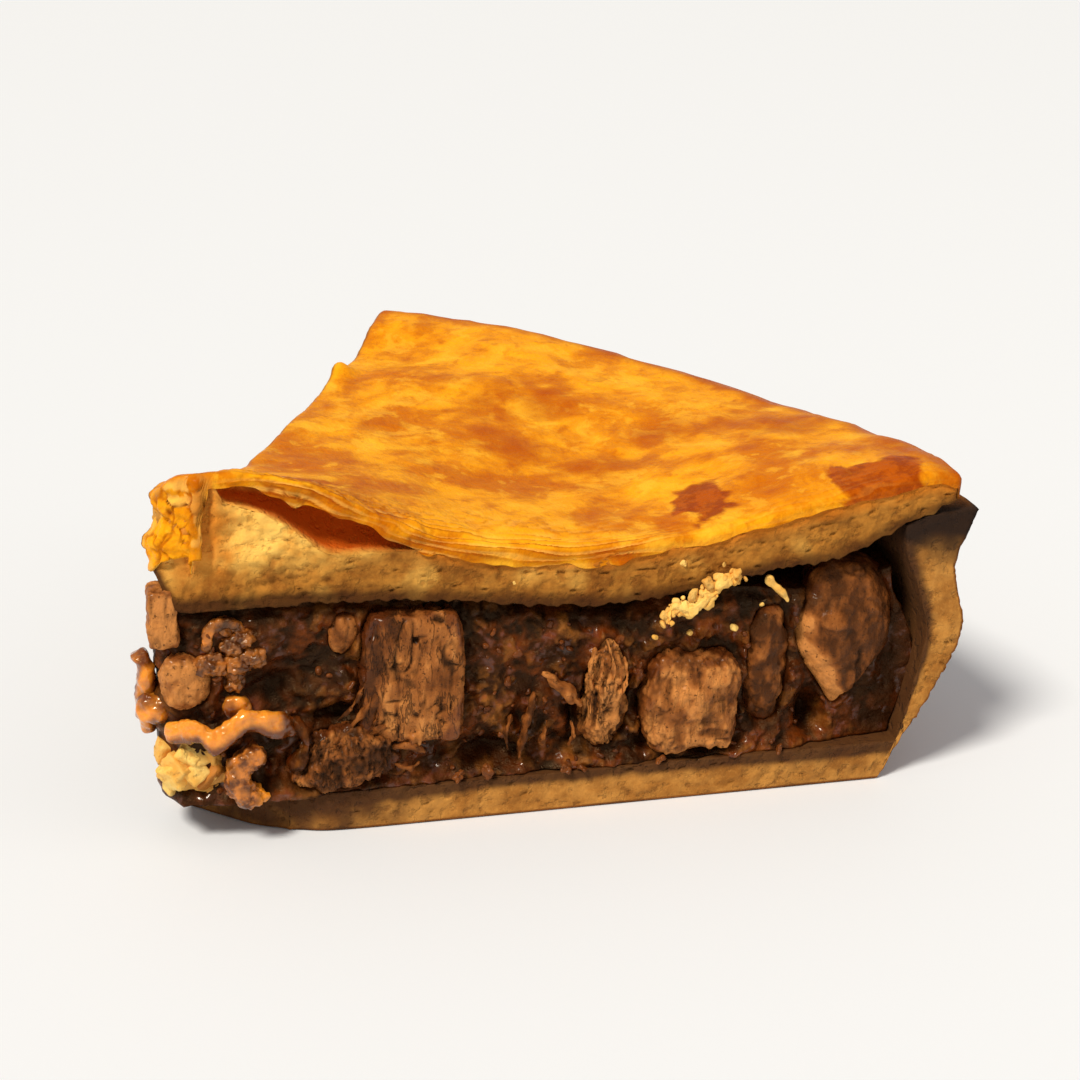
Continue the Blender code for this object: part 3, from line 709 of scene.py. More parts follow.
beef_material, tree, shader = new_material(
    "stewed_beef", Specular_IOR_Level=0.3, Specular_Tint=WARM_SHINE, Coat_Roughness=0.2, Coat_Tint=WARM_SHINE
)
upward = add_node(tree, "ShaderNodeMapping", {"Scale": (1.0, 1.0, 0.3)})
tree.links.new(add_node(tree, "ShaderNodeTexCoord").outputs["Object"], upward.inputs["Vector"])
drawn_out = {"Vector": upward.outputs[0], "Scale": 640.0, "Detail": 3.0, "Roughness": 0.6}
fibres = maths(tree, "SUBTRACT", add_node(tree, "ShaderNodeTexNoise", drawn_out).outputs[0], 0.5)
cloud = maths(tree, "SUBTRACT", noise_of(tree, 330.0, 6.0, 0.65), 0.5)
level = maths(tree, "ADD", mask_of(tree, "tone"), cloud)
level = maths(tree, "ADD", level, maths(tree, "MULTIPLY", fibres, 0.9))
colour = mixed(tree, ranged(tree, level, 0.0, 0.4), BEEF_DARK, BEEF_BROWN)
colour = mixed(tree, ranged(tree, level, 0.3, 0.75), colour, BEEF_TAN)
colour = mixed(tree, ranged(tree, level, 0.7, 1.15), colour, BEEF_PALE)
specks = ranged(tree, noise_of(tree, 1500.0, 4.0, 0.65), 0.42, 0.32, 0.0, 0.8)
colour = mixed(tree, specks, colour, BEEF_CRACK)
# Hair cracks up the grain: where the noise that is drawn out upward passes through its middle value
hair = ranged(tree, maths(tree, "ABSOLUTE", fibres, 0.0), 0.035, 0.008)
hair = maths(tree, "MULTIPLY", hair, ranged(tree, noise_of(tree, 300.0, 2.0), 0.42, 0.56))
hair = maths(tree, "MULTIPLY", hair, ranged(tree, mask_of(tree, "hairy"), 0.3, 1.0, 0.1, 1.0))
colour = mixed(tree, maths(tree, "MULTIPLY", hair, 0.6), colour, BEEF_CRACK)
# Dark in its cracks, with painted shade in its low places
colour = mixed(tree, mask_of(tree, "cranny"), colour, BEEF_CRACK)
colour = mixed(tree, mask_of(tree, "gravy"), colour, GRAVY_BROWN)
wet = maths(tree, "ADD", maths(tree, "MULTIPLY", mask_of(tree, "gravy"), 0.5), 0.05)
dull = ranged(tree, noise_of(tree, 600.0, 3.0), 0.3, 0.7, 0.45, 0.8)
wire(tree, shader, Base_Color=colour, Roughness=dull, Coat_Weight=wet)
rough = maths(tree, "SUBTRACT", noise_of(tree, 1900.0, 5.0, 0.65), hair)
rough = maths(tree, "ADD", rough, maths(tree, "MULTIPLY", fibres, 1.5))
bumped(tree, shader, rough, 0.00025)


def pressed_block(size, square, cell):
    """A rounded block about its own middle: a gridded cube's surface, each point divided by its own length
    when that is measured with the square power, and stretched to size. Gives its points and its quads."""
    ways = [np.linspace(-1, 1, max(5, round(side / cell))) for side in size]
    values, quads = shell(*ways)
    cube = np.column_stack(values)
    length = (np.abs(cube) ** square).sum(axis=1) ** (1 / square)
    return cube / length[:, None] * np.array(size) / 2, quads


def tilted(points, lean):
    """Points leaned over about the inward way, by degrees."""
    return points @ np.array(Euler((0, math.radians(lean), 0)).to_matrix()).T


def fissures(points, size, width, seed):
    """1 along winding lines, where smooth noise of that size passes through nothing, fading out by width."""
    return smooth(width, 0.0, np.abs(swell(points, size, seed)))


def beef_relief(place, bundle, crack, lumpy, ragged):
    """How far the meat stands out: its ragged form, lumps, and bundles of fibre at uneven heights, less long
    cracks up its grain, finer ones between them and short ones across. Also gives the dark of its cracks and
    how its tone varies."""
    up_grain = place * (1.0, 1.0, 0.32)
    across = place * (0.4, 1.0, 1.3)
    broken = smooth(-0.25, 0.1, swell(place, 4.0, 21))
    long_cracks = fissures(up_grain, bundle, 0.13, 22) * broken
    fine_cracks = fissures(up_grain, bundle * 0.45, 0.18, 23) * smooth(-0.1, 0.3, swell(place, 2.5, 24))
    short_cracks = fissures(across, bundle * 0.9, 0.16, 25) * smooth(0.05, 0.35, swell(place, 3.0, 26))
    strands = place * (1.0, 1.0, 0.4) + 0.25 * bundle * swell(place, bundle, 27)[:, None]
    _, gap, own = stones(strands, bundle * 0.9, 28)
    between = smooth(0.2, 0.03, gap)
    drawn = place * (1.0, 1.0, 1.0 - 0.65 * min(1.0, crack))
    lumps = 0.45 * swell(drawn, 3.0, 29) + 0.32 * swell(drawn, 1.3, 30) + 0.22 * swell(drawn, 0.65, 31)
    form = 0.7 * swell(place, 5.5, 32) + 0.35 * swell(place, 2.2, 33)
    relief = ragged * form + (0.2 + 0.6 * lumpy) * lumps
    relief = relief + lumpy * (0.5 * (own - 0.5) - 0.3 * between)
    relief = relief - crack * (0.5 * long_cracks + 0.2 * fine_cracks + 0.32 * short_cracks)
    dark = np.clip(long_cracks + 0.55 * fine_cracks + 0.8 * short_cracks, 0, 1) * min(1.0, 0.3 + 0.7 * crack)
    dark = np.maximum(dark, 0.5 * min(1.0, lumpy) * between)
    return relief, dark, lumps + lumpy * 0.5 * (own - 0.5)


# Single marks on the pieces at the front: their place along and above, half width and half height, how far
# they stand out, and how much paler they are. The sunk ones are painted dark as shade, and the pale one low on
# the round dice's right is a painted glint
MARKS = {
    "beef_round_dice": (
        (74.1, 15.9, 3.1, 2.7, 0.6, 0.3),
        (78.0, 10.6, 2.2, 0.7, -0.3, -0.3),
        (78.6, 8.4, 1.6, 0.9, 0.5, 0.5),
        (71.0, 17.4, 0.5, 2.6, -0.3, -0.3),
        (78.4, 19.9, 2.2, 1.5, 0.5, 0.3),
    ),
    "beef_ragged_piece": (
        (60.0, 15.4, 0.4, 3.0, -0.5, -0.5),
        (64.6, 13.4, 0.4, 2.6, -0.5, -0.5),
        (62.2, 18.8, 1.7, 2.2, 0.6, 0.3),
    ),
    "beef_large_dice": ((33.0, 29.5, 0.4, 0.5, -0.8, -0.8), (33.5, 13.9, 0.9, 1.1, 0.9, 0.1)),
    "beef_pointed_piece": ((101.4, 17.6, 0.4, 4.4, -0.5, -0.4), (96.4, 26.4, 2.0, 1.2, 0.4, 0.25)),
}

for name, (cut, middle, size, lean, square, ragged, foot, head) in BEEF.items():
    bundle, crack, lumpy, pale, edging = MEAT[name]
    out, inward = cut_frame(cut)
    block, quads = pressed_block(size, square, FINE_CELL if min(size) > SMALL_PIECE else FINEST_CELL)
    quads = facing_out(block, quads)
    edge_share = (np.abs(2 * block[:, (0, 2)] / np.array(size)[[0, 2]]) ** 3).sum(axis=1) ** (1 / 3)
    block[:, 0] *= slimmed(2 * block[:, 2] / size[2], foot, head)
    relief, dark, lumps = beef_relief(block + np.array(middle), bundle, crack, lumpy, ragged)
    edge_share = edge_share + 0.25 * swell(block, 2.6, 34)
    lighter = np.zeros(len(block))
    facing = smooth(0.0, -0.6, 2 * block[:, 1] / size[1])
    for along, above, wide, tall, stands_out, paler in MARKS.get(name, ()):
        aside = np.abs(block[:, 0] + middle[0] - along + 0.3 * swell(block, 1.2, 37)) / wide
        off = (aside**3 + (np.abs(block[:, 2] + middle[2] - above) / tall) ** 3) ** (1 / 3)
        mark = facing * smooth(1.25, 0.8, off)
        relief = relief + stands_out * mark
        lighter = lighter + paler * mark
    block = block + outward(block, quads) * relief[:, None]
    turned = tilted(block, lean) + np.array(middle)
    points = np.column_stack((turned[:, :1] * out + turned[:, 1:2] * inward, turned[:, 2]))
    edges = smooth(0.86, 1.1, edge_share)
    width = slimmed(2 * block[:, 2] / size[2], foot, head)
    toward = -(block[:, 0] / width / size[0] + block[:, 2] / size[2])
    # Painted light: a paler lower left edge
    lower_left = max(edging, 0) * smooth(0.2, 0.46, toward + 0.14 * swell(block, 3.4, 35))
    # Painted shade: the left side is darkened as though it turned away from the light
    turned_away = 0.29 + 0.2 * block[:, 2] / size[2] - (block[:, 0] / size[0] + 0.5)
    turned_away = np.maximum(turned_away + 0.09 * swell(block, 3.0, 38), 0) * max(-edging, 0)
    side = smooth(0.0, 0.12, turned_away)
    # Painted shade in the low places between its lumps
    low = smooth(0.0, -0.6, lumps * lumpy)
    # The tone's noise is taken from deeper in where the left side is painted with shade
    deeper = block + np.array((0.0, size[0], 0.0)) * turned_away[:, None]
    varied = lumps + 0.4 * swell(deeper, 4.0, 36)
    tone = pale + (0.8 - 0.5 * max(edging, 0)) * varied - 0.25 * edges
    masks = {
        "tone": tone + 1.4 * lower_left + lighter - 0.75 * side,
        "cranny": np.clip(dark + 0.6 * low - lighter, 0, 0.94) * (1 - 0.8 * lower_left),
        "gravy": np.clip(0.9 * edges * (1 - 0.4 * pale) - lower_left + 0.1 * side, 0, 1),
        "hairy": min(1.0, crack),
    }
    beef = fill_mesh(name + "_meat", points, facing_out(points, quads), beef_material, **masks)
    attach(beef, "root")
    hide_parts(name)


# ==== The lid's crumb ============================================================================
# The thick shortcrust under the lid's glazed skin. It sags between the nose and the rim, shows a granular
# broken face at each cut, and lies open at the front left where the skin has lifted off it in a long blister.

LID_NOSE = ((1.5, 0.0), (-3.9, 1.2), (-3.1, 6.4))
RIM_HEIGHT = 48.0
RIM_RADIUS = 115.4
LID_SAG = 6.3
LID_SAG_WIDTH = 28.0
LEVELLING = 0.85
BACK_DENT = 2.6
BACK_DENT_RADIUS = 94.0
BACK_DENT_WIDTH = 9.0
DOME_HEIGHT = 9.3
DOME_CENTRE = (6.0, -6.0)
DOME_WIDTHS = (26.0, 20.0)
RIM_ROLL_START = 111.0
RIM_ROLL = 0.08
NOSE_ROLL = 0.2
LIP_DROOP = 0.6
LIP_DROOP_WIDTH = 4.0
BLISTER_DROOP = 1.6
BLISTER_DROOP_AT = (36.0, 14.0)
RIM_DROOP = 0.9
RIM_DROOP_AT = (99.0, 16.0)
RIPPLE = 0.45
SKIN = 1.4
CRUMB_EDGE = ((5.5, 52.4), (10.7, 50.8), (16.0, 47.6), (21.2, 43.6), (26.5, 43.2), (31.7, 43.1), (37.0, 42.9))
BLISTER_DEPTH = 9.0
BLISTER_ENDS = (0.12, 0.92)
UNDER_SKIN = 0.75 * SKIN  # how far the crumb's top lies below the skin's
CRUMB_INSET = 0.9
CRUMB_COLUMNS = 350
CRUMB_ROWS = 40
CRUMB_FRAY = 0.8
NOSE_TUCK = np.array((0.9, 0.75))
SCOOP_AT = (7.9, 47.0)
SCOOP_WIDTHS = (1.7, 2.2)
SCOOP_DEPTH = 1.1


def ripple(x, y):
    """The skin's gentle unevenness: a slow swell and a quicker one, each bent across its own way."""
    slow = np.sin(x / 8.0 + 1.2 * np.sin(y / 9.0)) * np.cos(y / 11.0 + 0.8 * np.sin(x / 13.0))
    quick = np.sin(x / 3.4 + 1.5 * np.sin(y / 5.0)) * np.cos(y / 3.9 + 1.3 * np.sin(x / 6.0))
    return RIPPLE * (slow + 0.4 * quick)


def lid_top(plan):
    """The height of the golden skin: level at the rim, sagging half way in, domed over the nose, rolled off
    at the rim and the nose, and bent down along the front cut."""
    x, y = plan[..., 0], plan[..., 1]
    radius = np.hypot(x, y)
    turn = np.arctan2(y, x) / CUT_ANGLE
    sag = LID_SAG * bell(radius, LID_SAG_RADIUS, LID_SAG_WIDTH) * (1 - LEVELLING * smooth(0.3, 1, turn))
    sag = sag + BACK_DENT * bell(radius, BACK_DENT_RADIUS, BACK_DENT_WIDTH) * smooth(0.7, 1, turn)
    dome = DOME_HEIGHT * bell(x, DOME_CENTRE[0], DOME_WIDTHS[0]) * bell(y, DOME_CENTRE[1], DOME_WIDTHS[1])
    roll = RIM_ROLL * np.maximum(0.0, radius - RIM_ROLL_START) ** 2
    nose_roll = NOSE_ROLL * np.maximum(0.0, 1.5 - x) ** 2 * bell(y, 2.0, 9.0)
    droop = LIP_DROOP + BLISTER_DROOP * bell(x, *BLISTER_DROOP_AT) + RIM_DROOP * bell(x, *RIM_DROOP_AT)
    lip = droop * smooth(18, 30, x) * np.exp(-np.maximum(y, 0.0) / LIP_DROOP_WIDTH)
    return RIM_HEIGHT + rim_wave(plan) + dome - sag - roll - nose_roll - lip + ripple(x, y)


def blister_drop(plan, roof):
    """How far the crumb lies below the lifted skin: to the floor of the hollow at the front cut, closing up
    as a cube of the way back to the hollow's end, which is deepest in its middle."""
    x, y = plan[..., 0], np.maximum(plan[..., 1], 0)
    start, end = CRUMB_EDGE[0][0], CRUMB_EDGE[-1][0]
    share = np.clip((x - start) / (end - start), 0, 1)
    floor = along_points(CRUMB_EDGE, share)[..., 1] + 0.1 * y
    phase = BLISTER_ENDS[0] + share * (BLISTER_ENDS[1] - BLISTER_ENDS[0])
    deepest = BLISTER_DEPTH * np.sin(np.pi * phase) ** 0.6
    closing = 1 - np.clip(y / deepest, 0, 1) ** 3
    ends = smooth(start - 0.5, start + 2.0, x) * smooth(end + 1.0, end - 4.0, x)
    return np.maximum(roof - floor, 0) * closing * ends


LID_PALE = paint(255, 204, 102)
LID_CREAM = paint(232, 166, 70)
LID_TAN = paint(182, 122, 46)
LID_BROWN = paint(128, 76, 22)
LID_PORE = paint(112, 62, 16)
LID_PALE_PORE = paint(200, 124, 40)
LID_EDGE = paint(204, 118, 26)
HOLLOW_BROWN = paint(196, 88, 12)

lid_crumb_material, tree, shader = new_material("lid_crumb", Roughness=0.85, Specular_IOR_Level=0.15)
colour, crumb_height = crumb_look(tree, LID_TAN, LID_BROWN, LID_PORE)
lit, _ = crumb_look(tree, LID_PALE, LID_CREAM, LID_PALE_PORE)
for mask, tint in (("pale", lit), ("golden", LID_EDGE), ("hollow", HOLLOW_BROWN)):
    colour = mixed(tree, mask_of(tree, mask), colour, tint)
wire(tree, shader, Base_Color=soaked_in_gravy(tree, colour))
bumped(tree, shader, crumb_height, 0.0002)

# The turn's steps are fine next to both cuts
steps = (np.linspace(0, 0.1, 26), np.linspace(0.1, 0.9, 14)[1:], np.linspace(0.9, 1, 12)[1:])
turnwise = np.concatenate(steps)
(length, turn, lift), quads = shell(np.linspace(0, 1, CRUMB_COLUMNS), turnwise, np.linspace(0, 1, CRUMB_ROWS))
radius = POLAR_START + length * (RIM_RADIUS - CRUMB_INSET - POLAR_START)
plan = on_plan(radius, turn, LID_NOSE)
low = lid_underside(plan)
# Under the nose's skin the crumb stands back, but for the flaky edge along its foot
tucked = smooth(6.2, 3.6, plan[:, 0]) * smooth(0.1, 0.35, lift)
plan = plan + NOSE_TUCK * tucked[:, None]
roof = lid_top(plan) - UNDER_SKIN
top = roof - blister_drop(plan, roof)
points = np.column_stack((plan, low + lift * (top - low)))
quads = facing_out(points, quads)
behind = np.minimum(plan[:, 1], plan @ SECOND_INWARD)
on_cut = np.exp(-np.maximum(behind, 0) / CRUMB_FRAY)
on_cut = np.maximum(on_cut, (length == 0) * 1.0)
in_front = turn < 0.3
in_blister = smooth(0.3, 1.5, roof - top) * (lift > 0.97)
relief = knife_crumb(points, np.maximum(on_cut, 0.6 * in_blister))
# A long row of pores where the two rollings of the dough met
seam_line = low + 0.6 * (top - low) + 0.4 * np.sin(points[:, 0] / 7)
seam = bell(points[:, 2], seam_line, 0.3) * smooth(0.1, 0.4, swell(points, 1.8, 41))
seam = seam * on_cut * smooth(24, 40, points[:, 0])
grains = 0.4 * swell(points, 1.3, 97) + 0.25 * swell(points, 0.7, 98)
grains = grains * smooth(30, 18, points[:, 0]) * on_cut * in_front
relief = (relief + grains - 0.6 * seam) * (0.3 + 0.7 * smooth(0.0, 0.12, lift))
# The left end stands out roughly beside the skin, and has a shallow hollow where a piece came away with it
rough_edge = bell(points[:, 0], 5.2 + 0.9 * swell(points, 2.2, 99), 1.5) * smooth(0.2, 0.5, lift) * on_cut
scoop = bell(points[:, 0], SCOOP_AT[0], SCOOP_WIDTHS[0]) * bell(points[:, 2], SCOOP_AT[1], SCOOP_WIDTHS[1])
points = points + outward(points, quads) * relief[:, None]
points[:, 1] += (SCOOP_DEPTH * scoop * on_cut - 0.5 * rough_edge) * in_front
# Its lower edge broke unevenly
foot = on_cut * smooth(0.25, 0.0, lift) * smooth(6, 14, points[:, 0] + 20 * ~in_front)
edgewise = points * (1.0, 0.3, 0.0)
points[:, 2] += foot * (0.7 * swell(edgewise, 3.4, 58) + 0.45 * swell(edgewise, 1.3, 59))

# Golden next to the skin and where it is torn at the left end, brown in the hollow, soaked and painted with
# shade along its foot, pale with painted light on its upper left, and pale in its flaky layers and in patches
skinward = smooth(3.2, 0.4, roof - points[:, 2])
hollow = smooth(0.4, 2.0, roof - top) * smooth(0.0, 2.5, behind) * (lift > 0.9)
# Soaking and painted shade darken its foot
low_edge = smooth(3.8, 0.0, points[:, 2] - low)
soaked = low_edge * (0.7 + 0.3 * smooth(40, 5, points[:, 0]))
# Painted light: the upper left of its front face is pale where the light falls brightest
pale = smooth(31, 23, points[:, 0]) * smooth(40.0, 45.5, points[:, 2] + 1.6 * swell(points, 3.0, 42))
pale = np.maximum(pale, 0.3 * smooth(0.1, 0.6, swell(points, 6.0, 43)))
torn = smooth(9.5, 5.5, points[:, 0] + 2.2 * swell(points, 2.2, 91)) * smooth(0.15, 0.5, lift) * in_front
flaky = smooth(0.0, 0.3, swell(points * (0.5, 0.5, 2.4), 1.6, 92)) * smooth(7, 3, points[:, 0]) * in_front
pale = np.maximum(pale, 0.7 * flaky * smooth(0.2, 0.4, lift))
masks = {
    "golden": np.maximum(0.85 * skinward * (1 - in_blister) * (1 - 0.8 * pale), 0.75 * torn),
    "hollow": np.clip(hollow, 0, 1),
    "soaked": soaked,
    "pale": pale * (turn < 0.5) + 0.35 * (turn >= 0.5),
}
lid_crumb = fill_mesh("lid_crumb", points, quads, lid_crumb_material, **masks)
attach(lid_crumb, "root")


# ==== The lid's skin =============================================================================
# The glazed outside of the lid, brushed with egg and baked golden, amber where the glaze pooled. It wraps
# over the nose, bends down over both cuts in a torn, layered lip, and stands clear of the crumb along the
# blister.

SKIN_PALE = paint(255, 190, 50)
SKIN_YELLOW = paint(250, 168, 20)
SKIN_GOLD = paint(201, 107, 4)
SKIN_AMBER = paint(178, 80, 2)
SKIN_BURNT = paint(148, 56, 0)
SKIN_CHAR = paint(84, 38, 6)
SKIN_LAYER = paint(255, 206, 104)

skin_material, tree, shader = new_material(
    "golden_crust", Specular_IOR_Level=0.06, Specular_Tint=(1.0, 0.7, 0.3, 1.0), Coat_Roughness=0.14
)
broad = noise_of(tree, 48.0, 6.0, 0.6, 0.5)
patches = noise_of(tree, 105.0, 7.0, 0.62, 0.5)
mottle = noise_of(tree, 210.0, 6.0, 0.62, 0.4)
flecks = noise_of(tree, 420.0, 5.0, 0.65)
colour = mixed(tree, ranged(tree, broad, 0.4, 0.62, 0.0, 0.9), SKIN_YELLOW, SKIN_GOLD)
# Amber and pale places laid over one another: their noise, its range, the most they cover, and their colour
for noise, low, high, most, tint in (
    (patches, 0.5, 0.7, 0.5, SKIN_AMBER),
    (patches, 0.47, 0.33, 0.6, SKIN_PALE),
    (mottle, 0.46, 0.37, 0.42, SKIN_PALE),
    (mottle, 0.53, 0.62, 0.3, SKIN_AMBER),
    (flecks, 0.55, 0.7, 0.35, SKIN_AMBER),
):
    colour = mixed(tree, ranged(tree, noise, low, high, 0.0, most), colour, tint)
uneven = maths(tree, "SUBTRACT", patches, 0.5)
browned = broken_mask(tree, "browned", uneven, 0.9)
colour = mixed(tree, ranged(tree, browned, 0.05, 1.0, 0.0, 0.9), colour, SKIN_AMBER)
pooled = broken_mask(tree, "pooled", uneven, 0.9)
glaze = mixed(tree, ranged(tree, flecks, 0.42, 0.6), SKIN_BURNT, SKIN_AMBER)
colour = mixed(tree, ranged(tree, pooled, 0.34, 0.52, 0.0, 0.95), colour, glaze)
# Pale layers, painted shade in the creases, and charred edges
for mask, tint in (("layered", SKIN_LAYER), ("crease", SKIN_BURNT), ("charred", SKIN_CHAR)):
    colour = mixed(tree, mask_of(tree, mask), colour, tint)
dull = ranged(tree, patches, 0.3, 0.7, 0.5, 0.34)
glossy = ranged(tree, pooled, 0.35, 0.6, 0.04, 0.1)
wire(tree, shader, Base_Color=colour, Roughness=dull, Coat_Weight=glossy)
rough = maths(tree, "ADD", flecks, maths(tree, "MULTIPLY", noise_of(tree, 1500.0, 3.0), 0.6))
bumped(tree, shader, rough, 0.0003)

# Places on the skin, on the plan, with their half widths along and across: where the glaze pooled and where
# the oven browned it more. Then the beads of fat that stand on it, each with one half width
POOLS = ((78.3, 9.6, 4.8, 9.0), (104.6, 3.2, 8.0, 5.4))
BROWNINGS = (
    (56.0, 59.0, 5.0, 9.0),
    (65.5, 58.0, 6.0, 6.0),
    (56.0, 40.0, 7.0, 7.0),
    (67.0, 31.0, 8.0, 5.0),
    (84.0, 40.0, 12.0, 5.0),
    (99.0, 34.0, 9.0, 8.0),
    (24.0, 14.0, 6.0, 3.0),
    (18.0, 4.5, 9.0, 2.6),
    (111.0, 14.0, 6.0, 12.0),
)
FAT_BEADS = ((72.5, 36.5, 1.5), (76.4, 18.4, 0.8), (60.0, 47.0, 0.8), (88.0, 12.0, 0.8))
FOLD = 1.3  # radius at which the skin bends over an edge
SKIN_COLUMNS = 300
SKIN_TURNS = 84
HANGING_ROWS = 36
TURNED_ROWS = 8
INSET = 1.0  # how far each edge draws the sheet in, so that the folded sheet ends flush with the crumb
NOSE_HANG = 10.8
BACK_HANG = 1.6
RIM_HANG = 2.6
SKIN_LAYERS = 3


def front_hang(x):
    """How far the skin hangs over the front cut: all down the nose, little at the blister but for two torn
    flakes, and a lip beyond it whose raggedness is a sum of sines."""
    ragged = 0.5 * np.sin(x / 2.3) + 0.35 * np.sin(x / 1.1 + 2 * np.sin(x / 5)) + 0.15 * np.sin(x / 0.5)
    nose = NOSE_HANG * smooth(5.4, 3.4, x)
    flakes = 0.8 * bell(x, 13.4, 1.8) + 1.3 * bell(x, 16.6, 1.5) + 0.7 * bell(x, 22.5, 2.0)
    beyond = smooth(14, 22, x) * (1 - 0.85 * smooth(58, 76, x))
    return np.maximum(nose, 0.6 + flakes + 1.0 * beyond + (0.25 + 0.4 * beyond) * ragged)


def folded(past):
    """How far out and how far down a point lies when it is that far past an edge, over a round fold."""
    angle = np.clip(past / FOLD, 0, np.pi / 2)
    return FOLD * np.sin(angle), FOLD * (1 - np.cos(angle)) + np.maximum(past - FOLD * np.pi / 2, 0)


def border_rows(inner):
    """Grid values for one way over the skin: hanging rows below 0, the inner values, and a few turned rows
    above 1."""
    hang = np.linspace(-1, 0, HANGING_ROWS + 1)[:-1]
    turned = np.linspace(1, 2, TURNED_ROWS + 1)[1:]
    return np.concatenate((hang, inner, turned))


U, V = np.meshgrid(
    border_rows(np.linspace(0, 1, SKIN_COLUMNS)), border_rows(crowded_turns(SKIN_TURNS)), indexing="ij"
)
inner_u, inner_v = np.clip(U, 0, 1), np.clip(V, 0, 1)
radius = POLAR_START + inner_u * (RIM_RADIUS - FOLD - POLAR_START)
edge_plan = on_plan(radius, inner_v, LID_NOSE)
to_front = np.maximum(edge_plan[..., 1], 0)
to_back = np.maximum(edge_plan @ SECOND_INWARD, 0)
edge_plan[..., 1] += INSET * np.exp(-to_front / 5)
edge_plan += SECOND_INWARD * (INSET * np.exp(-to_back / 5))[..., None]
edge_plan[..., 0] += INSET * np.exp(-inner_u * RIM_RADIUS / 5)
fold_length = FOLD * np.pi / 2
front_past = np.maximum(-V, 0) * (front_hang(edge_plan[..., 0]) + fold_length)
back_past = np.maximum(V - 1, 0) * (BACK_HANG + 0.5 * np.sin(radius / 2.1) + fold_length)
nose_past = np.maximum(-U, 0) * (NOSE_HANG + fold_length)
rim_past = np.maximum(U - 1, 0) * (RIM_HANG + fold_length)
ray = edge_plan / np.maximum(np.hypot(edge_plan[..., 0], edge_plan[..., 1]), 1.0)[..., None]
push = (
    np.array((0.0, -1.0)) * front_past[..., None]
    - SECOND_INWARD * back_past[..., None]
    + np.array((-1.0, -0.3)) * nose_past[..., None]
    + ray * rim_past[..., None]
)
past = (front_past**4 + back_past**4 + nose_past**4 + rim_past**4) ** 0.25
way = push / np.maximum(np.linalg.norm(push, axis=-1, keepdims=True), 1e-6)
advance, drop = folded(past)
skin_plan = edge_plan + way * advance[..., None]
raised_flake = 1.8 * bell(radius, 81.0, 2.4) * smooth(0.95, 1.0, inner_v)
sheet = np.dstack((skin_plan, lid_top(edge_plan) - drop + raised_flake))

# Torn layers along the front, like terraces one behind the other, with slow folds and dimples
x, y = sheet[..., 0], sheet[..., 1]
near_lip = np.exp(-np.maximum(y, 0) / (6.0 + 3.5 * bell(x, 34, 16))) * smooth(4, 12, x)
terrace = (to_front - past + 1.4 * swell(sheet * (0.16, 1.0, 1.0), 2.4, 45)) / 1.5
terrace = terrace - np.floor(terrace)
folds = swell(sheet * (0.3, 1.0, 1.0), 3.2, 46)
patchy = smooth(-0.4, 0.4, swell(sheet * (0.5, 1.0, 1.0), 5.0, 44))
near_lip = near_lip * (0.25 + 0.75 * patchy) * (1 - 0.85 * smooth(60, 82, x))
relief = near_lip * (0.4 * folds + 0.46 * (terrace - 0.5)) + 0.25 * swell(sheet, 5.0, 47)
relief = relief + 0.08 * swell(sheet, 1.5, 48)
# Small cracked plates down the nose and on the lip beside the blister, a ridge, and beads of fat on top
_, gap, own = stones(sheet + 0.8 * swell(sheet, 2.2, 49)[..., None], 2.7, 49)
cracked = smooth(0.16, 0.04, gap) * smooth(-0.3, 0.1, swell(sheet, 3.0, 90))
nose_face = smooth(6.5, 3.5, x) * smooth(0.3, 2.0, past)
crust = 0.8 * (own - 0.5) * smooth(0.02, 0.3, gap) + 0.35 * swell(sheet, 1.2, 50)
flaky_lip = 0.6 * near_lip * smooth(46, 26, x)
relief = relief + (nose_face + flaky_lip) * (crust - 0.35 * cracked)
ridge = nose_face * bell(x, 3.6, 0.8)
relief = relief + 0.5 * ridge
for bead_x, bead_y, wide in FAT_BEADS:
    relief = relief + 0.5 * wide * np.maximum(1 - ((x - bead_x) ** 2 + (y - bead_y) ** 2) / wide**2, 0)
slope_u, slope_v = np.gradient(sheet, axis=0), np.gradient(sheet, axis=1)
normal = np.cross(slope_u, slope_v)
normal = normal / np.maximum(np.linalg.norm(normal, axis=-1, keepdims=True), 1e-9)
outer = sheet + normal * relief[..., None]
# The nose's skin bulges out low down and ends in a wandering torn edge beside the blister
wander = 0.9 * swell(sheet * (0.3, 0.3, 1.0), 2.6, 55) * smooth(9, 5, x)
bulge = 1.4 * bell(sheet[..., 2], 44.0, 3.5) * smooth(4, -1, x)
outer[..., 0] += (wander - bulge) * smooth(1.0, 4.0, past)
thick = SKIN * (1 - 0.5 * smooth(0.0, 2.0, past)) * (0.85 + 0.2 * folds)

(u_index, v_index, layer), quads = shell(
    np.arange(U.shape[0]), np.arange(U.shape[1]), np.linspace(0, 1, SKIN_LAYERS)
)
picked = (u_index, v_index)
points = outer[picked] - normal[picked] * (thick[picked] * layer)[:, None]
quads = facing_out(points, quads)


def spotted(places, wander):
    """The share from 0 to 1 in which each point of the skin lies on one of the places: the highest of their
    bells, whose edges wander with a noise."""
    along = points[:, 0] + wander * (swell(points, 6.0, 51) + 0.6 * swell(points, 2.4, 52))
    across = points[:, 1] + wander * (swell(points, 6.0, 53) + 0.6 * swell(points, 2.4, 54))
    return np.max([bell(along, x, wide) * bell(across, y, deep) for x, y, wide, deep in places], axis=0)


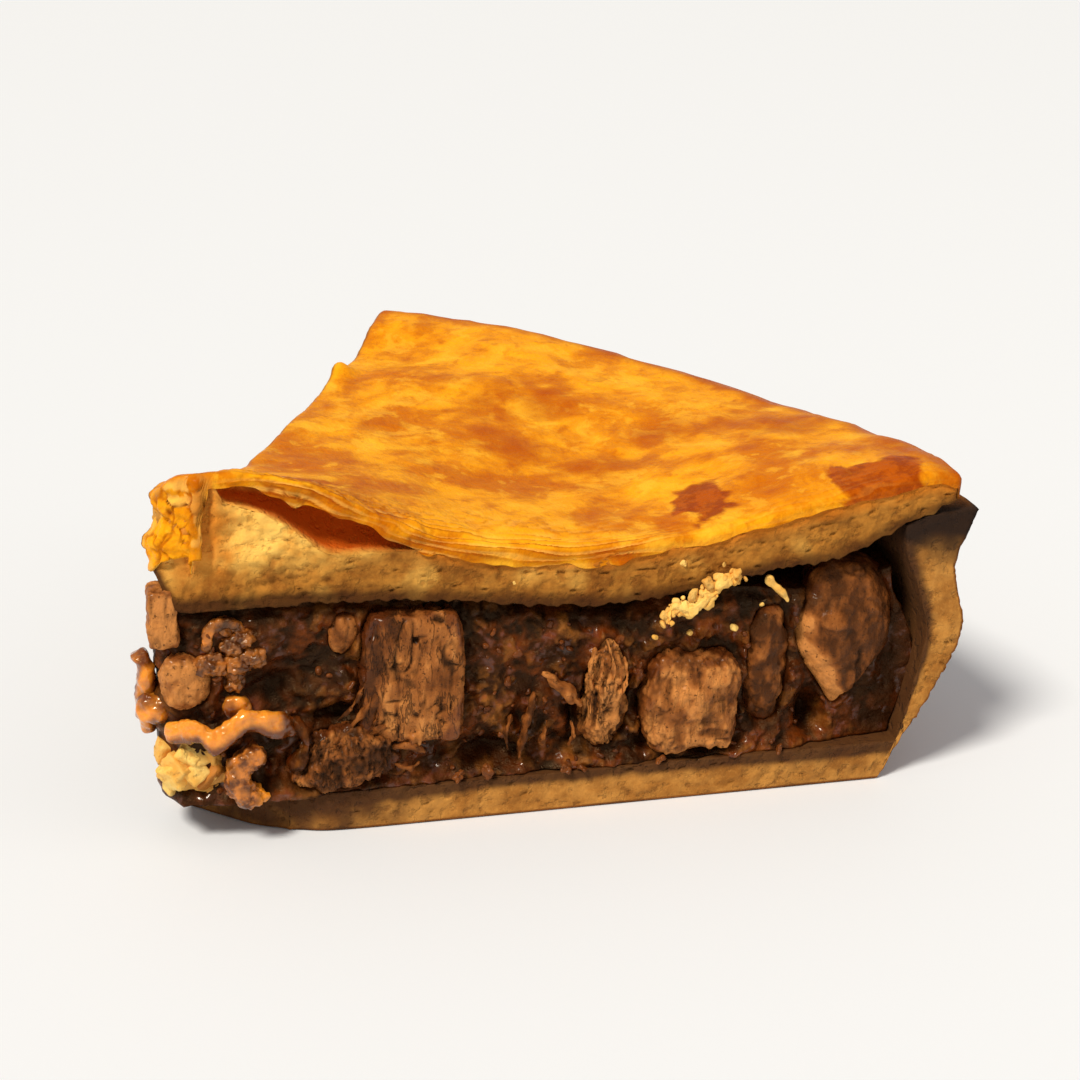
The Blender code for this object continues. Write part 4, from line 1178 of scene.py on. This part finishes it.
lip = near_lip[picked]
under = layer > 0.4
rim_browned = 0.85 * smooth(107.0, 114.0, np.hypot(points[:, 0], points[:, 1]))
lip_browned = 0.8 * lip * smooth(0.4, 1.6, past[picked])
layered = np.maximum(lip * smooth(0.45, 0.2, terrace[picked]) * 0.45, 0.6 * under)
layered = layered * (1 - 0.8 * smooth(0.5, 1.0, rim_browned))
pale_plates = (0.5 * nose_face * smooth(0.55, 0.85, own))[picked]
# Painted shade: dark in the creases between torn layers, in the cracks between the nose's plates and along its ridge
between_plates = (0.6 * nose_face + 0.9 * flaky_lip) * cracked
crease = 0.8 * lip * smooth(0.72, 0.97, terrace[picked])
crease = np.maximum(crease, np.maximum(between_plates, 0.5 * ridge)[picked])
back_edge = 0.7 * smooth(0.2, 1.2, back_past[picked])
masks = {
    "pooled": spotted(POOLS, 2.0),
    "browned": np.maximum(0.85 * spotted(BROWNINGS, 3.0), np.maximum(rim_browned, lip_browned)),
    "layered": np.maximum(layered, pale_plates),
    "crease": crease * ~under,
    "charred": np.clip(back_edge + 0.5 * smooth(0.5, 3, rim_past[picked]), 0, 1),
}
skin = fill_mesh("lid_skin", points, quads, skin_material, **masks)
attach(skin, "root")
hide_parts("lid")


# ==== The loose pieces at the nose ===============================================================
# What spilled at the slice's blunt point: a strip of soft onion over a lump of broken pastry, with a fold of
# gravy at its right end, jellied onion at the far left, and a torn curl of beef below, all wet with gravy.

ONION_AMBER = paint(240, 150, 46)
ONION_DEEP = paint(104, 48, 10)

onion_material, tree, shader = new_material(
    "soft_onion",
    Coat_Weight=0.9,
    Coat_Roughness=0.05,
    Subsurface_Weight=0.3,
    Subsurface_Radius=(0.004, 0.0016, 0.0005),
    Subsurface_Scale=0.6,
    IOR=1.38,
    Specular_Tint=WARM_SHINE,
)
# Darker by a mask of stain and of painted shade
stained = broken_mask(tree, "stained", noise_of(tree, 330.0), 0.8)
colour = mixed(tree, ranged(tree, stained, 0.3, 1.0), ONION_AMBER, ONION_DEEP)
dull = ranged(tree, noise_of(tree, 700.0, 3.0), 0.35, 0.65, 0.15, 0.4)
wire(tree, shader, Base_Color=colour, Roughness=dull)
bumped(tree, shader, noise_of(tree, 800.0, 4.0), 0.0003)

ONION_LINE = (
    (-2.6, 1.0, 17.4),
    (1.4, -1.4, 18.7),
    (4.0, -2.4, 17.2),
    (8.9, -1.8, 19.8),
    (12.4, -1.4, 18.4),
    (16.2, 0.4, 17.2),
)
ONION_HEIGHT = 3.6
ONION_THICKNESS = 2.1


def rounded(side, rise, power):
    """A square section's reach once it is rounded: the larger of its two ways over their length as that
    power measures it, 1 on its axes and less at its corners."""
    length = (np.abs(side) ** power + np.abs(rise) ** power) ** (1 / power)
    return np.maximum(np.abs(side), np.abs(rise)) / np.maximum(length, 1e-6)


def carried(line, wide, tall, ends, seed, lumpy, rows=90):
    """A rounded section carried along a line: wide across it, tall upward, drawn in towards both ends as a
    power and swelling as a sine. Gives its points, their quads, and how high each is in the section, -1 to
    1."""
    ways = (np.linspace(0, 1, rows), np.linspace(-1, 1, 13), np.linspace(-1, 1, 17))
    (share, side, rise), quads = shell(*ways)
    tapered = np.sqrt(np.clip(1 - np.abs(2 * share - 1) ** ends, 0.01, 1))
    reach = rounded(side, rise, 2.4) * tapered * (1 + 0.2 * lumpy * np.sin(16 * share + seed))
    points = along_points(line, share)
    points[:, 1] += side * reach * wide / 2
    points[:, 2] += rise * reach * tall / 2
    quads = facing_out(points, quads)
    relief = lumpy * (0.75 * swell(points, 2.4, seed) + 0.4 * swell(points, 1.0, seed + 1))
    relief = relief + lumpy * 0.15 * swell(points, 0.5, seed + 2)
    return points + outward(points, quads) * relief[:, None], quads, rise * reach


points, quads, rise = carried(ONION_LINE, ONION_THICKNESS, ONION_HEIGHT, 8, 51, 0.6)
# Painted shade darkens the strip's lower edge, and its right end is stained brown
stained = 0.6 * smooth(0.2, -0.8, rise) + 0.9 * smooth(12, 16, points[:, 0])
onion = fill_mesh("onion_ribbon", points, quads, onion_material, stained=stained)
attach(onion, "root")
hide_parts("onion_strip")

# A fold of gravy hangs from the strip's right end
FOLD_LINE = ((15.0, 0.2, 18.0), (17.3, -0.2, 15.6), (16.7, -0.4, 12.8), (14.4, 0.4, 11.2))
FOLD_THICKNESS = 2.6
FOLD_HEIGHT = 3.0
points, quads, _ = carried(FOLD_LINE, FOLD_THICKNESS, FOLD_HEIGHT, 6, 54, 0.5, 50)
meaty = 0.5 * smooth(-0.2, 0.8, swell(points, 1.6, 100))
gravy_fold = fill_mesh("gravy_fold", points, quads, gravy_material, meaty=meaty, cranny=0.0, calm=0.0)
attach(gravy_fold, "root")

JELLY_MIDDLE = (-4.9, 7.0, 21.8)
JELLY_SIZE = (3.0, 6.4, 13.2)
JELLY_SPIKE = 1.1
JELLY_SPIKE_HEIGHT = 27.4


def soft_blob(name, middle, size, seed, spike=0.0):
    """A soft blob of onion: a rounded block, unevenly swollen, with a spike drawn out of its left side."""
    block, quads = pressed_block(size, 2.4, FINEST_CELL)
    points = block + np.array(middle)
    points[:, 0] -= spike * bell(points[:, 2], JELLY_SPIKE_HEIGHT, 0.5) * np.maximum(-block[:, 0], 0)
    quads = facing_out(points, quads)
    relief = 0.5 * swell(points, 2.8, seed) + 0.22 * swell(points, 1.1, seed + 1)
    points = points + outward(points, quads) * relief[:, None]
    stained = 0.3 + 0.5 * swell(points, 2.4, seed + 2)
    return fill_mesh(name, points, quads, onion_material, stained=stained)


jelly = soft_blob("onion_jelly_blob", JELLY_MIDDLE, JELLY_SIZE, 57, JELLY_SPIKE)
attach(jelly, "root")
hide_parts("onion_jelly")
# Two small soft lumps, one beside the jelly and one on the strip: their middle, their size and their seed
for name, middle, size, seed in (
    ("onion_jelly_lobe", (-3.9, 4.4, 20.4), (5.2, 5.0, 4.8), 60),
    ("onion_bump", (7.6, 1.0, 21.0), (4.2, 3.0, 3.4), 63),
):
    soft_lump = soft_blob(name, middle, size, seed)
    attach(soft_lump, "root")

CURL_MIDDLE = (9.8, -1.6, 10.8)
CURL_RADIUS = 2.9
CURL_THICKNESS = 3.7
CURL_START = math.radians(62)
CURL_TURN = math.radians(235)
CURL_BROWN = paint(92, 42, 10)
CURL_GOLD = paint(212, 126, 48)
CURL_TIP = paint(232, 142, 34)
CURL_DARK = paint(66, 31, 9)

curl_material, tree, shader = new_material(
    "gravy_glazed_beef", Roughness=0.34, Coat_Weight=0.45, Coat_Roughness=0.1, Specular_Tint=WARM_SHINE
)
colour = mixed(tree, ranged(tree, noise_of(tree, 420.0, 5.0), 0.4, 0.6), CURL_BROWN, CURL_GOLD)
for mask, tint in (("tip", CURL_TIP), ("dark", CURL_DARK)):
    colour = mixed(tree, mask_of(tree, mask), colour, tint)
wire(tree, shader, Base_Color=colour)
bumped(tree, shader, noise_of(tree, 1300.0, 4.0), 0.0003)


def curled(name, middle, radius, thickness, start, turned, seed, tip, dark):
    """A rounded section carried round an upright arc from the start angle, thinner and rounded off at its
    ends. By the last two shares its tip is golden and the rest is dark in blotches."""
    (share, side, rise), quads = shell(np.linspace(0, 1, 84), np.linspace(-1, 1, 15), np.linspace(-1, 1, 15))
    tapered = 0.72 + 0.28 * np.sin(np.pi * share)
    tapered = tapered * np.sqrt(np.clip(1 - np.abs(2 * share - 1) ** 8, 0.02, 1))
    thick = thickness * tapered / 2 * rounded(side, rise, 2.6)
    angle = start + turned * share
    out = radius + rise * thick
    points = np.column_stack((np.cos(angle) * out, side * thick, np.sin(angle) * out * 1.05))
    points = points + np.array(middle)
    quads = facing_out(points, quads)
    relief = 0.5 * swell(points, 2.0, seed) + 0.4 * swell(points, 0.9, seed + 1)
    relief = relief + 0.2 * swell(points, 0.5, seed + 3)
    points = points + outward(points, quads) * (relief * min(1.0, thickness / 3))[:, None]
    golden = tip * smooth(0.8, 0.97, share)
    darker = np.clip(dark + 0.8 * swell(points, 1.8, seed + 2), 0, 1) * (1 - tip * smooth(0.7, 0.9, share))
    return fill_mesh(name, points, quads, curl_material, tip=golden, dark=darker)


curl = curled("torn_beef_curl", CURL_MIDDLE, CURL_RADIUS, CURL_THICKNESS, CURL_START, CURL_TURN, 66, 1.0, 0.1)
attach(curl, "root")
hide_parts("beef_curl")


# ==== Broken pastry ==============================================================================
# Pale flakes of shortcrust: a lump of blocky chips under the onion at the nose, and a shred of crumb that
# hangs from the lid over the gravy.

FLAKE_PALE = paint(255, 218, 124)
FLAKE_GOLD = paint(244, 182, 78)
FLAKE_PORE = paint(190, 112, 32)
FLAKE_TAN = paint(188, 118, 40)

flake_material, tree, shader = new_material("pastry_flakes", Roughness=0.6, Specular_IOR_Level=0.3)
colour, crumb_height = crumb_look(tree, FLAKE_PALE, FLAKE_GOLD, FLAKE_PORE)
wire(tree, shader, Base_Color=mixed(tree, mask_of(tree, "tanned"), colour, FLAKE_TAN))
bumped(tree, shader, crumb_height, 0.0002)

rng = np.random.default_rng(26)


def strewn(name, spots, sizes, material, seed, square, sides, rough=0.4, **masks):
    """Many small lumps in one mesh: a closed grid pressed to a ball or a block, stretched to each lump's
    three sizes, roughened by noise, turned by a random rotation and put on its spot."""
    (x, y, z), quads = shell(*[np.linspace(-1, 1, sides)] * 3)
    ball = np.column_stack((x, y, z))
    ball = ball / (np.abs(ball) ** square).sum(axis=1, keepdims=True) ** (1 / square)
    spin = rng.normal(size=(len(spots), 4))
    w, i, j, k = (spin / np.linalg.norm(spin, axis=1, keepdims=True)).T
    rows = (
        (1 - 2 * (j * j + k * k), 2 * (i * j - k * w), 2 * (i * k + j * w)),
        (2 * (i * j + k * w), 1 - 2 * (i * i + k * k), 2 * (j * k - i * w)),
        (2 * (i * k - j * w), 2 * (j * k + i * w), 1 - 2 * (i * i + j * j)),
    )
    turned = np.array(rows).transpose(2, 0, 1)
    lumps = ball[None] * sizes[:, None, :] / 2
    lumps = lumps * (1 + rough * swell(lumps * 1.4 + 7 * spots[:, None, :], 1.0, seed))[..., None]
    points = np.einsum("nij,nmj->nmi", turned, lumps) + spots[:, None, :]
    starts = np.arange(len(spots))[:, None, None] * len(ball)
    quads = facing_out(ball, quads)
    each = {mask: np.repeat(np.broadcast_to(values, len(spots)), len(ball)) for mask, values in masks.items()}
    return fill_mesh(name, points.reshape(-1, 3), (quads[None] + starts).reshape(-1, 4), material, **each)


LUMP_MIDDLE = np.array((1.0, 4.2, 11.0))
LUMP_SIZE = np.array((9.4, 8.0, 8.4))

block, quads = pressed_block(LUMP_SIZE * 0.86, 3.0, FINE_CELL)
quads = facing_out(block, quads)
points = block + outward(block, quads) * (0.6 * swell(block, 2.4, 71) + 0.25 * swell(block, 0.9, 72))[:, None]
lump = fill_mesh("pastry_flake_lump", points + LUMP_MIDDLE, quads, flake_material, tanned=0.5)
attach(lump, "root")
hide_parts("pastry_lump")

# The lump's blocky chips, all on the side that faces out of the slice
CHIPS = 22
CHIP_SIZE = (4.4, 3.6, 2.8)
facing = rng.normal(size=(CHIPS, 3))
facing[:, 1] = -np.abs(facing[:, 1])
facing = facing / (np.abs(facing) ** 3).sum(axis=1, keepdims=True) ** (1 / 3)
spots = LUMP_MIDDLE + facing * LUMP_SIZE * 0.36
sizes = rng.uniform(0.75, 1.2, (CHIPS, 3)) * CHIP_SIZE
tans = smooth(1.0, 4.0, spots[:, 0]) * 0.8 + rng.uniform(-0.3, 0.3, CHIPS)
tans = np.clip(tans, 0, 1)
chips = strewn("pastry_chips", spots, sizes, flake_material, 73, 12.0, 10, 0.08, tanned=tans)
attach(chips, "root")

# The hanging shred, with loose bits round it
HANGING_LINE = (
    (81.2, -1.4, 36.4),
    (78.4, -2.0, 35.0),
    (76.0, -2.4, 33.4),
    (73.4, -2.3, 31.6),
    (70.8, -2.0, 31.8),
    (70.3, -2.0, 29.8),
)
HANGING_THICKNESS = 1.6
HANGING_HEIGHT = 1.5
HANGING_BITS = 60
points, quads, _ = carried(HANGING_LINE, HANGING_THICKNESS, HANGING_HEIGHT, 6, 74, 1.0)
tans = 0.25 * swell(points, 2.0, 77)
hanging = fill_mesh("hanging_crumb_shred", points, quads, flake_material, tanned=tans)
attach(hanging, "root")
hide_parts("hanging_crumb")
share = rng.uniform(0, 1, HANGING_BITS) ** 1.2
spread = (1.1 - 0.5 * share)[:, None]
spots = along_points(HANGING_LINE, share) + rng.normal(size=(HANGING_BITS, 3)) * (0.9, 0.4, 0.9) * spread
sizes = rng.uniform(0.4, 2.0, (HANGING_BITS, 1)) * rng.uniform(0.5, 1.4, (HANGING_BITS, 3)) * spread
tans = rng.uniform(0, 0.5, HANGING_BITS)
loose = strewn("hanging_crumb_bits", spots, sizes, flake_material, 78, 2.5, 6, tanned=tans)
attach(loose, "root")


# ==== Crumbs, shreds and bits ====================================================================
# What the knife scattered and pulled up: bits, glazed lumps, a ring and strands of beef stuck in the wet
# gravy, bits fallen on the base, and a sliver and crumbs of pale pastry. Each kind is one mesh of closed
# pieces.

BITS = 220  # at each cut
front_spots = gravy_face[rng.integers(0, len(gravy_face), BITS)]
back_spots = gravy_back[rng.integers(0, len(gravy_back), BITS)]
spots = np.concatenate((front_spots, back_spots))
sizes = rng.uniform(0.4, 1.1, (len(spots), 1)) * rng.uniform(0.5, 1.5, (len(spots), 3))
tones = rng.uniform(-0.2, 0.4, len(spots))
bits = strewn("beef_bits", spots, sizes, beef_material, 81, 2.8, 7, tone=tones, cranny=0.0, gravy=0.5)
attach(bits, "root")
# Glazed lumps over the ball at the nose, and a torn ring among them
LUMPS = 9
RING_MIDDLE = (6.2, 1.2, 31.2)
RING_RADIUS = 2.5
RING_THICKNESS = 1.7
RING_START = math.radians(-60)
RING_TURN = math.radians(290)
spots = np.column_stack(
    (rng.uniform(2.5, 10.5, LUMPS), rng.uniform(0.7, 2.0, LUMPS), rng.uniform(24.0, 32.5, LUMPS))
)
sizes = rng.uniform(2.0, 4.2, (LUMPS, 1)) * rng.uniform(0.7, 1.1, (LUMPS, 3))
darker = rng.uniform(0.35, 0.85, LUMPS)
glazed = strewn("glazed_beef_lumps", spots, sizes, curl_material, 82, 2.4, 16, 0.3, tip=0.0, dark=darker)
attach(glazed, "root")
glazed_ring = curled(
    "glazed_beef_ring", RING_MIDDLE, RING_RADIUS, RING_THICKNESS, RING_START, RING_TURN, 87, 0.2, 0.5
)
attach(glazed_ring, "root")

# Strands and shreds of meat that the knife pulled up, each a thin section carried along its line: their
# thickness, their tone from dark 0 to pale 1, and the line
STRANDS = (
    (0.9, 1.0, ((59.6, 0.4, 19.0), (59.0, -0.6, 22.6), (59.8, -0.8, 26.0))),
    (0.9, 1.0, ((62.6, -0.2, 20.0), (62.4, -0.9, 23.6), (61.4, -0.7, 27.2))),
    (0.9, 1.0, ((61.0, -0.6, 17.0), (60.4, -1.2, 21.0), (60.9, -0.9, 24.6))),
    (0.9, 1.0, ((63.9, 0.2, 17.6), (64.6, -0.7, 20.8), (64.2, -0.4, 24.0))),
    (0.9, 0.25, ((30.0, 0.2, 12.6), (32.4, -0.8, 13.0), (34.4, -0.4, 11.6))),
    (0.9, 0.25, ((29.6, 0.4, 10.0), (32.0, -0.6, 9.2), (33.6, 0.0, 9.8))),
    (0.9, 0.25, ((25.4, 0.0, 14.6), (27.4, -0.9, 16.2), (29.6, -0.4, 16.4))),
    (0.9, 0.25, ((26.8, -0.6, 21.4), (25.4, -0.9, 18.8), (23.6, 0.2, 16.2))),
    (0.9, 0.25, ((26.0, -0.3, 23.4), (24.2, -0.6, 20.4), (21.8, 0.6, 17.4))),
    (0.9, 0.25, ((27.6, -0.7, 18.8), (26.8, -1.1, 16.8), (25.2, -0.4, 14.6))),
    (2.2, 0.7, ((52.3, 1.0, 21.6), (55.2, 0.2, 19.4), (57.9, 0.6, 16.8))),
    (2.6, 0.1, ((51.2, 1.2, 18.6), (49.8, 0.6, 14.4), (48.4, 0.4, 9.2))),
    (1.6, 0.05, ((47.6, 1.2, 15.4), (46.6, 0.6, 12.8), (47.0, 0.8, 10.4))),
    (1.3, 0.35, ((52.9, 0.9, 14.2), (52.3, 0.2, 12.6), (52.0, 0.8, 11.2))),
    (1.3, 0.45, ((56.4, 0.8, 13.8), (56.7, 0.1, 11.9), (56.0, 0.8, 10.2))),
)
STRAND_ROWS = 26
parts = [
    carried(line, thick, thick, 2, 94 + number, 0.45 + 0.15 * thick, STRAND_ROWS)
    for number, (thick, _, line) in enumerate(STRANDS)
]
points = np.concatenate([part[0] for part in parts])
quads = np.concatenate([part[1] + number * len(parts[0][0]) for number, part in enumerate(parts)])
tones = np.repeat([tone for _, tone, _ in STRANDS], len(parts[0][0])) + 0.45 * swell(points, 1.4, 95)
strands = fill_mesh(
    "beef_strands", points, quads, beef_material, tone=tones, cranny=0.0, gravy=0.0, hairy=0.0
)
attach(strands, "root")

# Bits that fell on the base's edge: along, above and across
FALLEN = (
    (39.4, 7.2, 1.5),
    (43.6, 7.3, 1.7),
    (55.7, 6.8, 1.5),
    (58.0, 6.5, 1.1),
    (70.0, 6.6, 1.3),
    (88.6, 6.4, 1.2),
)
spots = np.array([(along, -0.2, above) for along, above, _ in FALLEN])
sizes = np.array([(1.2 * wide, 0.8 * wide, 0.6 * wide) for *_, wide in FALLEN])
fallen = strewn(
    "fallen_beef_bits", spots, sizes, beef_material, 103, 3.5, 12, 0.8, tone=0.3, cranny=0.0, gravy=0.3
)
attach(fallen, "root")

# A long pale sliver of pastry to the right of the hanging shred
SLIVER_LINE = ((85.9, 0.8, 34.2), (87.5, 0.2, 32.7), (89.2, 0.0, 30.9))
SLIVER_THICKNESS = 1.2
SLIVER_HEIGHT = 1.7
points, quads, _ = carried(SLIVER_LINE, SLIVER_THICKNESS, SLIVER_HEIGHT, 3, 86, 0.5, 30)
sliver = fill_mesh("pastry_sliver", points, quads, flake_material, tanned=0.3)
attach(sliver, "root")

# The brightest crumbs of pastry stand where they lie in front: along, above and across
CRUMBS = (
    (68.9, 26.5, 0.9),
    (74.2, 26.8, 1.1),
    (81.0, 27.0, 1.2),
    (85.2, 30.4, 0.8),
    (73.0, 37.9, 1.2),
    (47.8, 36.9, 0.8),
)
spots = np.array([(along, 0.2, above) for along, above, _ in CRUMBS])
sizes = np.array([(wide, 0.8 * wide, 0.8 * wide) for *_, wide in CRUMBS])
crumbs = strewn("pastry_crumbs", spots, sizes, flake_material, 84, 2.5, 7, tanned=0.2)
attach(crumbs, "root")


# ==== Floor, light and camera ====================================================================
# A plain pale floor, a warm soft light from the front left, a dim one from the right, and the photograph's
# view.

FLOOR_REACH = 3.0
FLOOR_DROP = 0.0002  # keeps it just clear of the slice's base
FLOOR_COLOUR = (0.80, 0.86, 0.97, 1)

corners = [(x * FLOOR_REACH, y * FLOOR_REACH, -FLOOR_DROP) for x, y in ((-1, -1), (1, -1), (1, 1), (-1, 1))]
floor_mesh = bpy.data.meshes.new("floor")
floor_mesh.from_pydata(corners, [], [(0, 1, 2, 3)])
floor_material, tree, shader = new_material("pale_floor", Roughness=0.7, Base_Color=FLOOR_COLOUR)
floor_mesh.materials.append(floor_material)
studio_floor = bpy.data.objects.new("studio_floor", floor_mesh)
bpy.context.scene.collection.objects.link(studio_floor)
studio_floor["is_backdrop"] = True

world = bpy.data.worlds.new("studio")
bpy.context.scene.world = world
world.use_nodes = True
sky = world.node_tree.nodes["Background"].inputs
sky["Color"].default_value = (1.0, 0.94, 0.86, 1)
sky["Strength"].default_value = 0.4

AIM_HEIGHT = 0.025


def aim(lamp, azimuth, elevation, distance):
    """Stands a lamp round the slice by azimuth, 0 being in front, and above it by elevation, facing it."""
    turn, rise = math.radians(azimuth), math.radians(elevation)
    toward = Vector((math.sin(turn) * math.cos(rise), -math.cos(turn) * math.cos(rise), math.sin(rise)))
    lamp.location = Vector((0, 0, AIM_HEIGHT)) + toward * distance
    lamp.rotation_euler = toward.to_track_quat("Z", "Y").to_euler()
    bpy.context.scene.collection.objects.link(lamp)


sun = bpy.data.lights.new("key_light", "SUN")
sun.energy = 3.1
sun.angle = 0.26
sun.color = (1.0, 0.9, 0.74)
aim(bpy.data.objects.new("key_light", sun), -46, 54, 0.6)

fill = bpy.data.lights.new("fill_light", "AREA")
fill.energy = 0.25
fill.size = 0.4
fill.color = (1.0, 0.93, 0.82)
aim(bpy.data.objects.new("fill_light", fill), 60, 30, 0.7)

VIEW_AZIMUTH = math.radians(-11.9)
VIEW_ELEVATION = math.radians(20.8)
VIEW_DISTANCE = 368.0
VIEW_AIM = np.array((58.42, 32.2, 30.73))
VIEW_FOCAL = 2329.0 / 1080  # focal length in picture widths
SENSOR = 36.0

back = np.array(
    (
        math.sin(VIEW_AZIMUTH) * math.cos(VIEW_ELEVATION),
        -math.cos(VIEW_AZIMUTH) * math.cos(VIEW_ELEVATION),
        math.sin(VIEW_ELEVATION),
    )
)
camera = bpy.data.cameras.new("camera")
camera.sensor_width = SENSOR
camera.lens = SENSOR * VIEW_FOCAL
camera.clip_start = 0.01
viewer = bpy.data.objects.new("camera", camera)
viewer.location = Vector((VIEW_AIM + back * VIEW_DISTANCE + PIE_CENTRE) * MM)
viewer.rotation_euler = Vector(back).to_track_quat("Z", "Y").to_euler()
bpy.context.scene.collection.objects.link(viewer)
bpy.context.scene.camera = viewer
bpy.context.scene.view_settings.view_transform = "Standard"

sizes = {"cad_box": [list(corner) for corner in cad_box], "visual_box": [list(corner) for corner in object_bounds()]}
